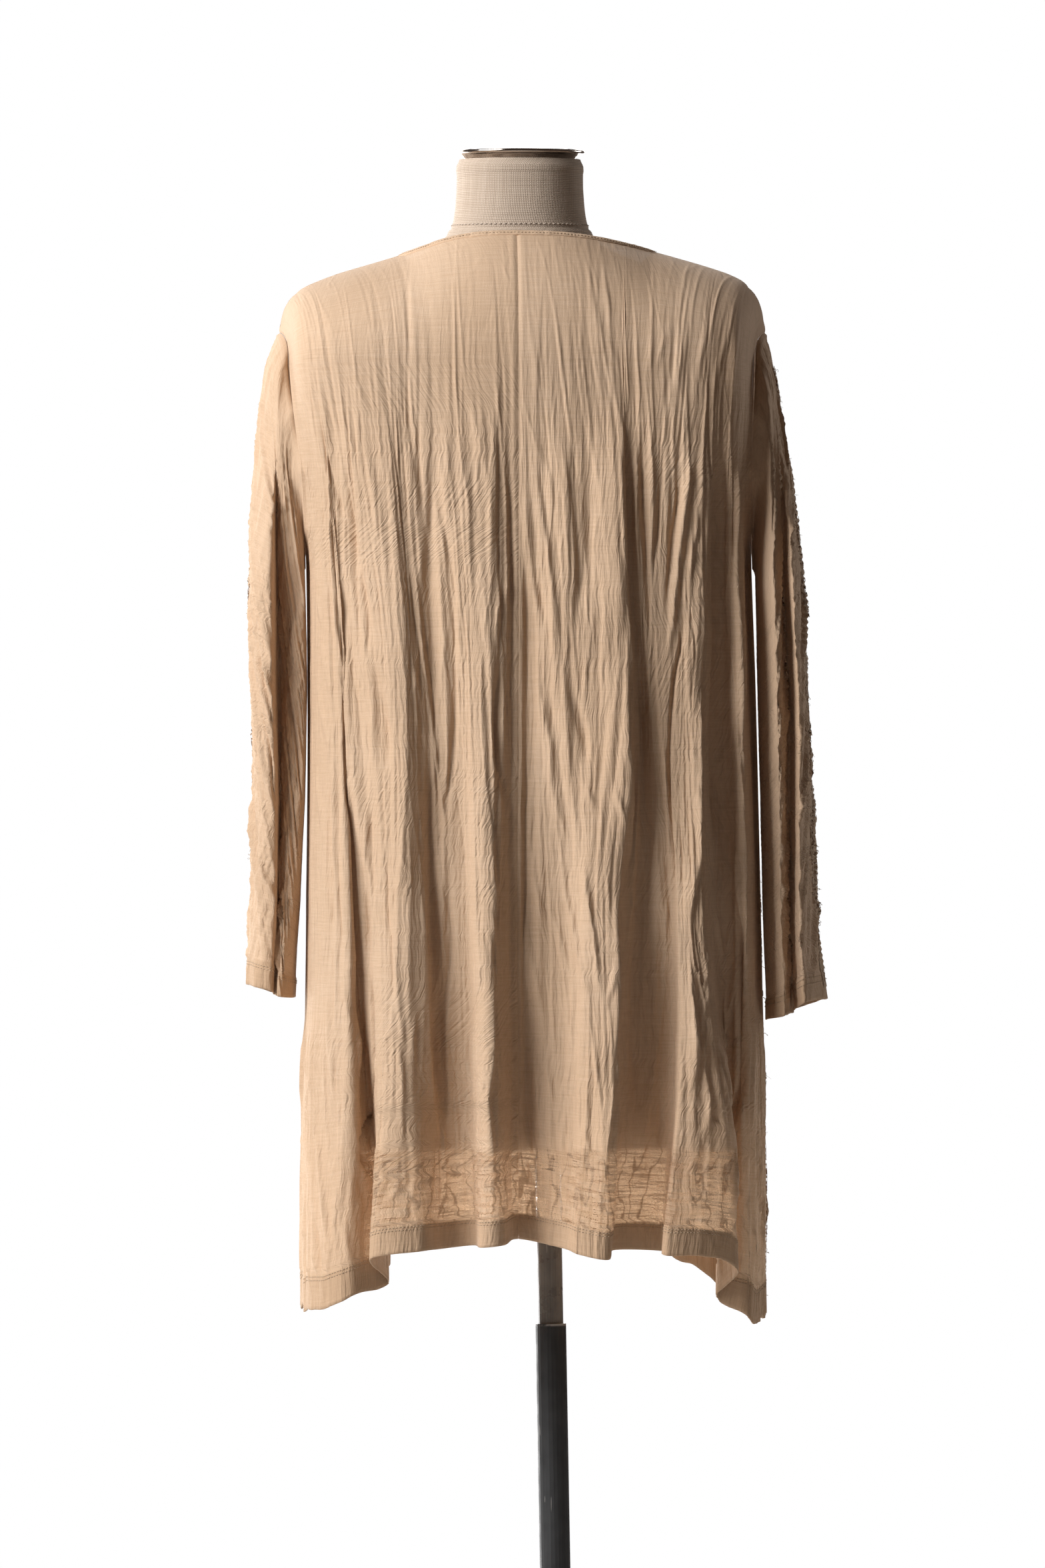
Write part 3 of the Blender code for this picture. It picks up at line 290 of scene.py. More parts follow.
def yoke_lines(panel):
    """For places along a panel's top: where its surface starts on the line of the shoulder seams, how far it
    rises there above the yoke, and the share of its way at which the neckline cuts it off.

    Between the neck's corners (1 - reach^2)^1.25 is added to the rise. The back is cut where it comes down to
    the neckline's height, the front at |reach|^c + |y / depth|^c = 1."""
    line = np.linspace(0, len(panel.folds) - 1, 600)
    x, z, reach = top_edge(panel, line)
    ways = np.linspace(0, 1, 400)
    out, left = over_shoulder(ways)
    rise = z - YOKE_Z + NECK_RISE[panel.facing] * (1 - reach**2) ** 1.25
    if panel.facing < 0:
        return line, x, rise, np.interp(-(z - YOKE_Z) / rise, -left, ways)
    end_y = hanging(panel, line, np.full(len(line), YOKE_Z))[:, 1]
    gone = (NECK_FRONT_Y - SEAM_Y) * (1 - reach**NECK_CORNER) ** (1 / NECK_CORNER) / (end_y - SEAM_Y + 1e-6)
    return line, x, rise, np.interp(np.clip(gone, 0, 0.97), out, ways)


def panel_points(panel, line, row):
    """Points of a panel. Rows 0 to 1 are a cubic Bezier curve over the shoulder, 1 to 2 hang straight down
    to SKIRT_Z, and 2 to 3 are spread down to the hem."""
    hem = curve([fold[3] for fold in panel.folds], line)
    straight = YOKE_Z + (SKIRT_Z - YOKE_Z) * (np.maximum(row, 1) - 1)
    z = np.where(row < 2, straight, SKIRT_Z + (hem - SKIRT_Z) * (row - 2))
    points = hanging(panel, line, z)
    end = hanging(panel, line, np.full(len(line), YOKE_Z))
    places, *tables = yoke_lines(panel)
    start_x, rise, cut = (np.interp(line, places, table) for table in tables)
    out, left = over_shoulder(cut + (1 - cut) * np.clip(row, 0, 1))
    x, y = start_x + (end[:, 0] - start_x) * out, SEAM_Y + (end[:, 1] - SEAM_Y) * out
    return np.where(row[:, None] < 1, np.stack([x, y, YOKE_Z + rise * left], axis=-1), points)


def panel_grid(panel, lines, rows):
    line, row = np.meshgrid(lines, rows)
    return panel_points(panel, line.ravel(), row.ravel()).reshape(len(rows), len(lines), 3)


def armhole_points(side, places):
    """Points round an armhole. Places 0 to 7 go down the back's edge and 7 to 14 up the front's edge."""
    last = len(ARMHOLE_ROWS) - 1
    row = np.interp(np.where(places <= last, places, 2 * last - places), np.arange(last + 1), ARMHOLE_ROWS)
    back, front = (
        panel_points(panel, np.full(len(places), (side == "right") * (len(panel.folds) - 1.0)), row)
        for panel in (BACK, FRONT))
    return np.where((places <= last)[:, None], back, front)


def sleeve_grid(side, places, rows):
    """A sleeve as a tube whose columns fall from the armhole's points. Their x and y go over from the
    armhole to a plain tube, y = -depth * sin(turn), then to its own folds, and at its foot to the cuff's."""
    folds, sides = SLEEVE_FOLDS[side], SLEEVE_SIDES[side]
    place, row = (a.ravel() for a in np.meshgrid(places, rows))
    start = np.repeat(armhole_points(side, places)[None], len(rows), axis=0).reshape(-1, 3)
    across, y, cuff_across, cuff_y, foot = (
        curve([fold[column] for fold in folds], place, closed=True) for column in range(1, 6))
    z = start[:, 2] + (foot - start[:, 2]) * row**SLEEVE_DROP
    outer, inner = (
        np.interp(-z, [-at[0] for at in sides], [at[column] for at in sides]) for column in (1, 2))
    cuff = np.clip((HANG_Z - z) / (HANG_Z - CUFF_Z), 0, 1)
    across = across * (1 - cuff) + cuff_across * cuff
    y = y * (1 - cuff) + cuff_y * cuff
    plain = np.clip((z - FOLDED_Z) / (SMOOTH_Z - FOLDED_Z), 0, 1)
    turn = np.radians(np.interp(place, SMOOTH_LINES, SMOOTH_ANGLES))
    y += (-SMOOTH_HALF_DEPTH * np.sin(turn) - y) * plain
    spread = 1 - (1 - np.minimum(row / SLEEVE_SPREAD, 1)) ** 2
    x = start[:, 0] * (1 - spread) + (inner + (outer - inner) * across) * spread
    y = start[:, 1] * (1 - spread) + y * spread
    return np.stack([x, y, z], axis=-1).reshape(len(rows), len(places), 3)


def evenly(make_row, first, last, count):
    """count places from first to last, evenly spaced along the mean of the lengths that make_row gives."""
    dense = np.linspace(first, last, 1200)
    run = running(np.linalg.norm(np.diff(make_row(dense), axis=1), axis=2).mean(axis=0))
    return np.interp(np.linspace(0, run[-1], count), run, dense)


def normals_of(grid, closed=False):
    """Unit normals of a grid, as the cross product of the central differences down and round."""
    if closed:
        across = np.roll(grid, -1, axis=1) - np.roll(grid, 1, axis=1)
    else:
        across = np.gradient(grid, axis=1)
    return unit(np.cross(np.gradient(grid, axis=0), across))


def lengths_round(grid):
    """Length along each row from its first column, (rows, columns)."""
    steps = np.linalg.norm(np.diff(grid, axis=1), axis=2)
    return np.concatenate([np.zeros((len(grid), 1)), np.cumsum(steps, axis=1)], axis=1)


def lengths_down(grid):
    """Mean length down the columns from the first row, (rows,)."""
    return running(np.linalg.norm(np.diff(grid, axis=0), axis=2).mean(axis=1))


# --- creases --------------------------------------------------------------------------------------------

# A crease: its place round the cloth (0 to 1) and length down it at its start and its end, how far its middle
# bows aside, its width on either side and its height, in millimetres. A trough's height is below 0
Crease = namedtuple("Crease", "round0 down0 round1 down1 bow left right high")
STEEPER = 0.65  # a scattered crease's right side, as a share of its left side
BOWED = 0.03  # how far such creases bow aside, as a share of their length
ABOVE, BELOW = 0.3, 0.4  # the most of one that may lie above the piece's top, and below its foot
SIZES = ((27, 520, 1.1), (13, 300, 0.6), (7.5, 170, 0.35))  # crinkles: pitch, length and height
PATCH_LONG, PATCHES_ROUND = 130, 5


def tent(d):
    """A fold's section: a tent 1 - |d| whose ridge is slightly rounded."""
    return np.maximum(1 - (np.sqrt(d * d + 0.006) - 0.0775) / 0.9255, 0)


def crease_heights(girth, down, columns, creases, closed=False):
    """The sum of all creases over a grid. girth is the length round each row, down its length from the top.

    A crease's middle runs straight from start to end with a bow of 4 t (1 - t), and the crease narrows and
    sinks at both ends as the 0.7th power of sin(pi t)."""
    total = np.zeros((len(down), columns))
    span = columns if closed else columns - 1
    for c in creases:
        first, last = np.searchsorted(down, (c.down0, c.down1))
        if last - first < 3:
            continue
        r = np.arange(first, last)
        t = (down[r] - c.down0) / (c.down1 - c.down0)
        spot = (c.round0 + (c.round1 - c.round0) * t + c.bow * 4 * t * (1 - t)) * span
        end = np.sin(math.pi * np.clip(t, 0, 1)) ** 0.7
        half = min(int(max(c.left, c.right) * span / girth[r].min()) + 2, span // 2 - 1)
        near = np.floor(spot).astype(int)[:, None] + np.arange(-half, half + 1)
        d = (near - spot[:, None]) * (girth[r] / span)[:, None] / (0.5 + 0.5 * end)[:, None]
        value = c.high * end[:, None] * tent(d / np.where(d < 0, c.left, c.right))
        if closed:
            total[r[:, None], near % columns] += value
        else:
            inside = (near >= 0) & (near < columns)
            total[np.broadcast_to(r[:, None], near.shape)[inside], near[inside]] += value[inside]
    return total


def scattered(seed, count, reach, lengths, widths, heights, spread, girth, slope=None, troughs=0.35):
    """Seeded creases spread over a piece. reach is the length down it, girth its mean length round.

    slope gives the creases' mean slant at a place round and a length down. Their right sides are steeper."""
    rng = np.random.default_rng(seed)
    made = []
    for _ in range(count):
        long = rng.uniform(*lengths)
        place = rng.uniform(0, 1)
        top = rng.uniform(-ABOVE * long, reach - (1 - BELOW) * long)
        slant = rng.normal(0, spread) + (slope(place, top + long / 2) if slope else 0)
        drift = slant * long / girth
        left, right = rng.uniform(*widths), rng.uniform(*widths) * STEEPER
        high = rng.uniform(*heights) * (min(left, right) / widths[1]) ** 0.3
        high = -high if rng.uniform() < troughs else high
        bow = rng.normal(0, BOWED) * long / girth
        made.append(Crease(place - drift / 2, top, place + drift / 2, top + long, bow, left, right, high))
    return made


def smooth_noise(x, y, seed, around=256):
    """Noise from 0 to 1: random values at whole places, joined by 3 t^2 - 2 t^3 both ways.

    It repeats after around whole places of x."""
    table = np.random.default_rng(seed).random((256, 256))
    i, j = np.floor(x).astype(int), np.floor(y).astype(int)
    s, t = smooth_step(0, 1, x - i), smooth_step(0, 1, y - j)
    left, right, above, below = i % around, (i + 1) % around, j % 256, (j + 1) % 256
    top = table[left, above] * (1 - s) + table[right, above] * s
    foot = table[left, below] * (1 - s) + table[right, below] * s
    return top * (1 - t) + foot * t


def facets(x, y, seed, around=256):
    """Noise folded into sharp crests and valleys with plain sides between them, from 0 to 1.

    It is 1 - |2 f - 1|, where f is what twice the noise has past its last whole number."""
    value = 2 * smooth_noise(x, y, seed, around)
    return 1 - np.abs(2 * (value - np.floor(value)) - 1)


def crinkled(girth, down, columns, seed, slant=0.0, closed=False):
    """Heights of the cloth's crinkles: long folds of three sizes that run down it and meet in Vs.

    Each size is folded noise, stretched down the cloth, whose places are pushed aside by slower noise."""
    width = girth.mean()
    x = (np.arange(columns) / (columns if closed else columns - 1))[None] * width + np.zeros((len(down), 1))
    y = down[:, None] + np.zeros((1, columns))
    total = np.zeros_like(x)
    for k, (pitch, long, high) in enumerate(SIZES):
        cells = max(int(round(width / pitch)), 4)
        slow = max(cells // 3, 2)
        push = 0.5 * smooth_noise(x / width * slow, y / long * 1.3, seed + 10 * k, slow)
        around = cells if closed else 256
        total += high * facets((x + slant * y) / width * cells + push, y / long, seed + 10 * k + 2, around)
    around = PATCHES_ROUND if closed else 256
    patch = smooth_noise(x / width * PATCHES_ROUND, y / PATCH_LONG, seed + 40, around)
    return total * (0.5 + 0.8 * patch) - 0.45 * sum(size[2] for size in SIZES)


# --- meshes ---------------------------------------------------------------------------------------------

# A stitch's rounded bar: its corners as shares of its half length, half width and height, and its faces
BAR = np.array(((-1, -0.5, 0), (-1, 0.5, 0), (-0.45, 0.8, 1), (0.45, 0.8, 1), (1, 0.5, 0), (1, -0.5, 0),
                (0.45, -0.8, 1), (-0.45, -0.8, 1)))
BAR_FACES = np.array(((7, 2, 1, 0), (6, 3, 2, 7), (5, 4, 3, 6), (5, 6, 7, 0), (4, 5, 0, 1), (3, 4, 1, 2)))


def mesh_object(name, points, quads, uv=None, sharp_angle=None):
    """A mesh object from points in millimetres about the form's middle line, and faces of four corners.

    uv holds a corner's place on the cloth in metres, in the faces' order."""
    mesh = bpy.data.meshes.new(name)
    placed = (points + np.array([FORM_X, 0.0, 0.0])) * MM
    mesh.vertices.add(len(placed))
    mesh.vertices.foreach_set("co", placed.astype(np.float32).ravel())
    mesh.loops.add(quads.size)
    mesh.loops.foreach_set("vertex_index", quads.astype(np.int32).ravel())
    mesh.polygons.add(len(quads))
    mesh.polygons.foreach_set("loop_start", np.arange(0, quads.size, quads.shape[1], dtype=np.int32))
    mesh.update(calc_edges=True)
    if uv is not None:
        mesh.uv_layers.new(name="cloth").data.foreach_set("uv", uv.astype(np.float32).ravel())
    mesh.shade_smooth()
    if sharp_angle is not None:
        mesh.set_sharp_from_angle(angle=math.radians(sharp_angle))
    made = bpy.data.objects.new(name, mesh)
    bpy.context.scene.collection.objects.link(made)
    return made


def grid_cells(rows, columns):
    """The row and the column of each of the grid's cells."""
    return (a.ravel() for a in np.meshgrid(np.arange(rows), np.arange(columns), indexing="ij"))


def grid_quads(rows, columns, closed=False, looped=False):
    """Faces of a grid: its rows run down and its columns anticlockwise seen from above.

    closed joins its last column to the first one, and looped its last row to the first one."""
    r, c = grid_cells(rows - (not looped), columns - (not closed))
    below, beside = (r + 1) % rows, (c + 1) % columns
    above, below = r * columns, below * columns
    return np.stack([above + c, below + c, below + beside, above + beside], 1)


def grid_uv(along, down, closed=False):
    """Corner places for grid_quads, in metres: lengths round, and lengths down for each row or each point."""
    if closed:
        step = along[:, -1:] / (along.shape[1] - 1)
        along = np.concatenate([along, along[:, -1:] + step], axis=1)
    if down.ndim == 1:
        down = np.repeat(down[:, None], along.shape[1], axis=1)
    r, c = grid_cells(len(along) - 1, along.shape[1] - 1)
    corners = ((r, c), (r + 1, c), (r + 1, c + 1), (r, c + 1))
    return np.stack([np.stack([along[at], -down[at]], -1) for at in corners], axis=1) * MM


def grid_mesh(name, grid, closed=False):
    """A mesh object of a grid, with its lengths round and down as its UV map."""
    uv = grid_uv(lengths_round(grid), lengths_down(grid), closed)
    return mesh_object(name, grid.reshape(-1, 3), grid_quads(*grid.shape[:2], closed), uv)


def copied(faces, corners, count):
    """The faces of count copies that lie one after the other and have so many corners each."""
    return (faces[None] + corners * np.arange(count)[:, None, None]).reshape(-1, 4)


def finish_piece(piece, material, slot, *nodes):
    piece.data.materials.clear()
    piece.data.materials.append(material)
    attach(piece, "root")
    if nodes:
        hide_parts(*nodes)


def turned_up(grid, normals, hem_rows):
    """A grid with its hem turned up: the last rows once more, mirrored and a layer's depth behind."""
    inner = grid[-hem_rows:][::-1] - normals[-hem_rows:][::-1] * HEM_LAYER
    roll = grid[-1:] - normals[-1:] * HEM_LAYER * 0.5
    roll[..., 2] -= HEM_ROLL
    return np.concatenate([grid, roll, inner])


def bars_on(origins, along, out, size):
    """Small rounded bars, one on each origin, stretched along one way and flat along out."""
    across = unit(np.cross(along, out))
    corners = BAR * np.array(size)
    points = origins[:, None]
    for k, way in enumerate((along, across, out)):
        points = points + way[:, None] * corners[None, :, k : k + 1]
    return points.reshape(-1, 3), copied(BAR_FACES, len(BAR), len(origins))


def tubes_along(paths, radii, sides=3):
    """Yarn: thin tubes along paths (count, steps, 3), of the radii (count, steps)."""
    ahead = unit(np.gradient(paths, axis=1))
    helper = np.where(np.abs(ahead[..., 2:]) > 0.8, np.array([1.0, 0.0, 0.0]), np.array([0.0, 0.0, 1.0]))
    one = unit(np.cross(ahead, helper))
    two = np.cross(ahead, one)
    angle = 2 * math.pi * np.arange(sides) / sides
    ring = one[:, :, None] * np.cos(angle)[:, None] + two[:, :, None] * np.sin(angle)[:, None]
    points = paths[:, :, None] + ring * radii[:, :, None, None]
    count, steps = paths.shape[:2]
    return points.reshape(-1, 3), copied(grid_quads(steps, sides, closed=True), steps * sides, count)


def joined(parts):
    """Points and faces of several meshes as one."""
    points, faces, first = [], [], 0
    for some, quads in parts:
        points.append(some)
        faces.append(quads + first)
        first += len(some)
    return np.concatenate(points), np.concatenate(faces)


# --- materials ------------------------------------------------------------------------------------------

def node(tree, kind, inputs=(), **settings):
    """A new node with its settings. An input is a value, or a socket that is linked to it."""
    made = tree.nodes.new(kind)
    for name, value in settings.items():
        setattr(made, name, value)
    for name, value in dict(inputs).items():
        if isinstance(value, bpy.types.NodeSocket):
            tree.links.new(value, made.inputs[name])
        else:
            made.inputs[name].default_value = value
    return made


def new_material(name):
    made = bpy.data.materials.new(name)
    made.use_nodes = True
    made.node_tree.nodes.clear()
    return made, made.node_tree


def to_output(tree, shader, kind="ShaderNodeOutputMaterial"):
    tree.links.new(shader, node(tree, kind).inputs["Surface"])


def cloth_place(tree):
    """The lengths round and down the piece."""
    return node(tree, "ShaderNodeUVMap", uv_map="cloth").outputs["UV"]


def own_place(tree):
    return node(tree, "ShaderNodeTexCoord").outputs["Object"]


def axes(tree, vector):
    return node(tree, "ShaderNodeSeparateXYZ", {"Vector": vector}).outputs


def stretched(tree, place, scale, start=(0, 0, 0)):
    mapping = node(tree, "ShaderNodeMapping", {"Vector": place, "Location": start, "Scale": scale})
    return mapping.outputs["Vector"]


def noise(tree, place, scale, detail=3.0, roughness=0.55, start=(0, 0, 0)):
    """Noise on a place, with a scale for each axis in waves to the metre."""
    return node(tree, "ShaderNodeTexNoise", {
        "Vector": stretched(tree, place, scale, start), "Scale": 1.0, "Detail": detail,
        "Roughness": roughness}).outputs["Fac"]


def ramp(tree, value, *stops):
    """A colour ramp: each stop is a place and a colour."""
    made = node(tree, "ShaderNodeValToRGB", {"Fac": value})
    marks = made.color_ramp.elements
    while len(marks) < len(stops):
        marks.new(0.5)
    for mark, (place, colour) in zip(marks, stops):
        mark.position = place
        mark.color = (*colour, 1)
    return made.outputs["Color"]


def band(tree, value, low, high, to_low=0.0, to_high=1.0):
    """A value carried smoothly from low and high over to to_low and to_high."""
    return node(tree, "ShaderNodeMapRange", {
        "Value": value, "From Min": low, "From Max": high, "To Min": to_low, "To Max": to_high},
        interpolation_type="SMOOTHSTEP").outputs["Result"]


def sums(tree, operation, *values):
    """The values one after the other in a Math node's operation."""
    total = values[0]
    for value in values[1:]:
        total = node(tree, "ShaderNodeMath", {0: total, 1: value}, operation=operation).outputs[0]
    return total


def blend(tree, *parts):
    """A weighted sum. Each part is a value and its weight."""
    return sums(tree, "ADD", *(sums(tree, "MULTIPLY", value, weight) for value, weight in parts))


def bumped(tree, height, strength, distance):
    return node(tree, "ShaderNodeBump", {
        "Height": height, "Strength": strength, "Distance": distance}).outputs["Normal"]


def crests(tree, value):
    """Sharp crests where a noise crosses its middle: 1 - 2 |n - 0.5|."""
    apart = sums(tree, "SUBTRACT", value, 0.5)
    size = node(tree, "ShaderNodeMath", {0: apart}, operation="ABSOLUTE").outputs[0]
    return sums(tree, "SUBTRACT", 1.0, sums(tree, "MULTIPLY", size, 2.0))


def principled(tree, inputs):
    return node(tree, "ShaderNodeBsdfPrincipled", inputs).outputs[0]


def mixed(tree, share, one, other):
    return node(tree, "ShaderNodeMixShader", {"Fac": share, 1: one, 2: other}).outputs[0]


def clear(tree):
    return node(tree, "ShaderNodeBsdfTransparent").outputs[0]


def jersey():
    """Sheer slub jersey: fine crinkles down the cloth, slubs across it, and light that comes through. Painted
    shade darkens its doubled hem, and painted shadows of the front panel's creases darken the light that
    comes through.
    """
    made, tree = new_material("crinkled_jersey")
    cloth = cloth_place(tree)
    crinkle = crests(tree, noise(tree, cloth, (150, 13, 1), 2.0, 0.5))
    crease = crests(tree, noise(tree, cloth, (330, 34, 1), 2.0, 0.5, (3, 7, 0)))
    slub = noise(tree, cloth, (34, 620, 1), 3.0, 0.6)
    loops = noise(tree, cloth, (1150, 1150, 1), 2.0, 0.6)
    patch = noise(tree, cloth, (9, 4, 1), 3.0, 0.5)
    hem = node(tree, "ShaderNodeAttribute", attribute_name="hem").outputs["Fac"]
    # painted shade: the hem attribute pulls the doubled hem's colour darker
    tone = blend(tree, (slub, 0.35), (patch, 0.35), (loops, 0.3), (hem, -0.14))
    colour = ramp(tree, tone, (0.34, (0.53, 0.357, 0.224)), (0.52, (0.605, 0.424, 0.281)),
                  (0.68, (0.67, 0.492, 0.345)))

    worn_in = band(tree, axes(tree, cloth)["Y"], -0.26, -0.06, 1.0, 0.2)  # the top of a piece is smoother
    crumple = blend(tree, (crinkle, 1.0), (crease, 0.45))
    normal = bumped(tree, blend(tree, (crumple, worn_in), (slub, 0.12), (loops, 0.12)), 0.8, 0.0016)
    matte = principled(tree, {
        "Base Color": colour, "Roughness": 0.82, "Normal": normal, "Specular IOR Level": 0.22,
        "Sheen Weight": 0.12, "Sheen Roughness": 0.4, "Sheen Tint": (0.9, 0.8, 0.7, 1)})

    # painted shade: thin dark lines in the light that comes through stand for the front panel's crease
    # shadows
    painted_crease_shadow = crests(tree, noise(tree, cloth, (62, 17, 1), 2.0, 0.45, (1, 4, 0)))
    against_light = sums(tree, "ADD", tone, band(tree, painted_crease_shadow, 0.93, 0.985, 0.0, -0.32))  # with painted shadows of the front panel's creases, seen through the cloth
    glow = ramp(tree, against_light, (0.1, (0.16, 0.09, 0.05)), (0.40, (0.56, 0.38, 0.23)),
                (0.66, (0.95, 0.69, 0.47)))
    through_light = node(tree, "ShaderNodeBsdfTranslucent", {"Color": glow, "Normal": normal}).outputs[0]

    streak = noise(tree, cloth, (46, 900, 1), 2.0, 0.5, (5, 2, 0))
    slubs = noise(tree, cloth, (26, 300, 1), 2.0, 0.5, (9, 4, 0))
    weave = blend(tree, (streak, 0.35), (slubs, 0.25), (loops, 0.4))
    place = axes(tree, own_place(tree))
    low = sums(tree, "MULTIPLY", band(tree, place["Z"], 0.637, 0.629), sums(tree, "SUBTRACT", 1.0, hem),
               band(tree, place["X"], -0.168, -0.158), band(tree, place["X"], 0.149, 0.138),
               band(tree, place["Y"], 0.03, -0.03))  # the back is more open near its hem
    lit = sums(tree, "ADD", 0.09, sums(tree, "MULTIPLY", low, band(tree, weave, 0.45, 0.55, 0.03, 0.62)))
    thin = sums(tree, "ADD", band(tree, weave, 0.52, 0.66, 0.02, 0.12),
                sums(tree, "MULTIPLY", low, band(tree, weave, 0.55, 0.60, 0.02, 0.9)))
    to_output(tree, mixed(tree, thin, mixed(tree, lit, matte, through_light), clear(tree)))
    return made


def yarn(name, dark, light):
    """Twisted yarn: uneven colour along it."""
    made, tree = new_material(name)
    fleck = noise(tree, own_place(tree), (420, 420, 420), 2.0)
    to_output(tree, principled(tree, {
        "Base Color": ramp(tree, fleck, (0.3, dark), (0.7, light)), "Roughness": 0.85,
        "Specular IOR Level": 0.2, "Normal": bumped(tree, fleck, 0.5, 0.0003)}))
    return made


def net():
    """Open-work backing of the frayed trims: uneven yarns with holes between them."""
    made, tree = new_material("frayed_net")
    cloth = cloth_place(tree)
    cells = stretched(tree, cloth, (330, 260, 1))
    threads = node(tree, "ShaderNodeTexVoronoi", {"Vector": cells, "Scale": 1.0},
                   feature="DISTANCE_TO_EDGE").outputs["Distance"]
    colour = ramp(tree, noise(tree, cloth, (500, 500, 1)), (0.3, (0.34, 0.23, 0.14)), (0.7, (0.6, 0.44, 0.3)))
    matte = principled(tree, {"Base Color": colour, "Roughness": 0.85})
    to_output(tree, mixed(tree, band(tree, threads, 0.10, 0.18), matte, clear(tree)))
    return made


def linen():
    """Plain-woven natural linen canvas: threads both ways, some of them thicker."""
    made, tree = new_material("linen_canvas")
    cloth = cloth_place(tree)
    warp, weft = (node(tree, "ShaderNodeTexWave", {
        "Vector": cloth, "Scale": 210.0, "Distortion": 0.6, "Detail": 2.0, "Detail Scale": 0.3},
        bands_direction=way).outputs["Fac"] for way in "XY")
    thread = sums(tree, "MULTIPLY", warp, weft)
    across, down = (noise(tree, cloth, scale, 2.0) for scale in ((18, 800, 1), (800, 18, 1)))
    uneven = blend(tree, (across, 0.5), (down, 0.5))
    colour = ramp(tree, blend(tree, (thread, 0.4), (uneven, 0.6)), (0.25, (0.40, 0.305, 0.225)),
                  (0.5, (0.58, 0.465, 0.365)), (0.75, (0.72, 0.61, 0.50)))
    to_output(tree, principled(tree, {
        "Base Color": colour, "Roughness": 0.85, "Specular IOR Level": 0.25, "Sheen Weight": 0.1,
        "Normal": bumped(tree, sums(tree, "ADD", thread, uneven), 0.7, 0.0005)}))
    return made


def polished_steel():
    made, tree = new_material("polished_cap")
    smudge = noise(tree, own_place(tree), (40, 40, 40), 4.0)
    to_output(tree, principled(tree, {
        "Base Color": ramp(tree, smudge, (0.3, (0.50, 0.44, 0.39)), (0.7, (0.60, 0.54, 0.48))),
        "Metallic": 1.0, "Roughness": band(tree, smudge, 0.35, 0.7, 0.10, 0.2)}))
    return made


def paint_with_scratches_and_ring(name, dark, light, scratch_and_ring_colour, roughness, top):
    """Painted tube or plate: faint streaks along it, scratches worn to metal, and a patchy lighter ring just
    below a rim.
    """
    made, tree = new_material(name)
    place = own_place(tree)
    streak = noise(tree, place, (900, 900, 12))
    dust = noise(tree, place, (60, 60, 60), 4.0)
    scratch = band(tree, noise(tree, place, (340, 340, 26), 1.0), 0.735, 0.75)
    at_rim = band(tree, axes(tree, place)["Z"], top - 0.0025, top - 0.0006)
    # a patchy lighter ring just below the top rim, in the same colour as the scratches
    rim = sums(tree, "MULTIPLY", at_rim, band(tree, dust, 0.38, 0.52))
    paint = ramp(tree, blend(tree, (streak, 0.5), (dust, 0.5)), (0.35, dark), (0.65, light))
    scratch_and_ring = sums(tree, "MAXIMUM", rim, sums(tree, "MULTIPLY", scratch, 0.6))
    colour = node(tree, "ShaderNodeMix", {"Factor": scratch_and_ring, "A": paint, "B": scratch_and_ring_colour}, data_type="RGBA")
    to_output(tree, principled(tree, {
        "Base Color": colour.outputs["Result"], "Specular IOR Level": 0.45,
        "Roughness": band(tree, dust, 0.3, 0.7, roughness - 0.06, roughness + 0.08),
        "Normal": bumped(tree, streak, 0.12, 0.0003)}))
    return made


# --- the tunic ------------------------------------------------------------------------------------------

# Scattered creases: how many a square metre, lengths, widths, heights and how far they slant
THIN = (1800, (60, 320), (1.2, 2.3), (0.4, 1.3), 0.035)
MIDDLE = (300, (120, 420), (2.8, 7.0), (0.8, 2.2), 0.03)
SHORT = (800, (14, 60), (1.5, 3.4), (0.45, 1.5), 0.20)
# How much of them shows at a length down a panel: lengths, shares
SOFT_SHARE = (0, 70, 140, 270), (0.04, 0.10, 0.40, 1.0)
FINE_SHARE = (0, 30, 110, 230), (0.12, 0.32, 0.60, 1.0)
FOLD_SHARE = (40, 120, 260), (0.25, 0.45, 1.0)
SHORT_SHARE = (380, 620), (0.25, 1.0)
SLANT_SHARE = (140, 230), (1, 0)
SLEEVE_SHARE = (0, 90, 330), (0.6, 1.0, 1.25)
# Where a part of a panel starts and where it is whole, as |x| and height: its flanks, which crinkle more, and
# the hem's tips, which are wavy. Beside a sleeve, given as the normal's |x| and height, it lies flatter
FLANK_X, FLANK_Z, FLANK_MORE = (115, 160), (1260, 1160), 0.9
TIP_X, TIP_Z, TIP_WAVE, TIP_PITCH = (115, 150), (640, 510), 8, 21
ASIDE_TURN, ASIDE_Z, ASIDE_FLATTER, ASIDE_IN = (0.6, 0.9), (700, 760), 0.75, 0.6
# The doubled hem stands out and is flatter
HEM_OUT, HEM_FLATTER, CUFF_FLATTER, HEM_EDGE = 0.5, 0.45, 0.5, 1.5
SEAM_LIP, SEAM_LIP_AT, SEAM_LIP_WIDE, SEAM_WIDE = 0.2, 3.5, 1.8, 1.4
SIDE_SEAM_DEEP, ARMHOLE_SEAM_DEEP, ARMHOLE_LIP = 0.7, 0.9, 0.5
SLEEVE_SLANT = {"left": 0.35, "right": -0.35}
SLEEVE_OUTSIDE, SLEEVE_FLATTER, SLEEVE_IN = 1.45, 1.3, 0.7  # a sleeve is flatter where it faces the body
PATH_STEPS, PATH_EVEN = 80, 8  # a listed fold's path: its steps, and how many on each side even it out
TAPER, SHORTEST_TAPER = 60, 0.16  # how long its ends are, and the least share of it
INNER_LAYER = 0.02  # what keeps a fold off the inner one of two layers


def hem_step(down, deep=HEM_DEEP):
    """0 on the single cloth and 1 on its hem."""
    return smooth_step(down[-1] - deep - HEM_EDGE, down[-1] - deep + HEM_EDGE, down)[:, None]


def hem_rows(down, deep):
    return max(round(deep / (down[-1] - down[-2])), 4)


def share_at(down, table):
    return np.interp(down, *table)[:, None]


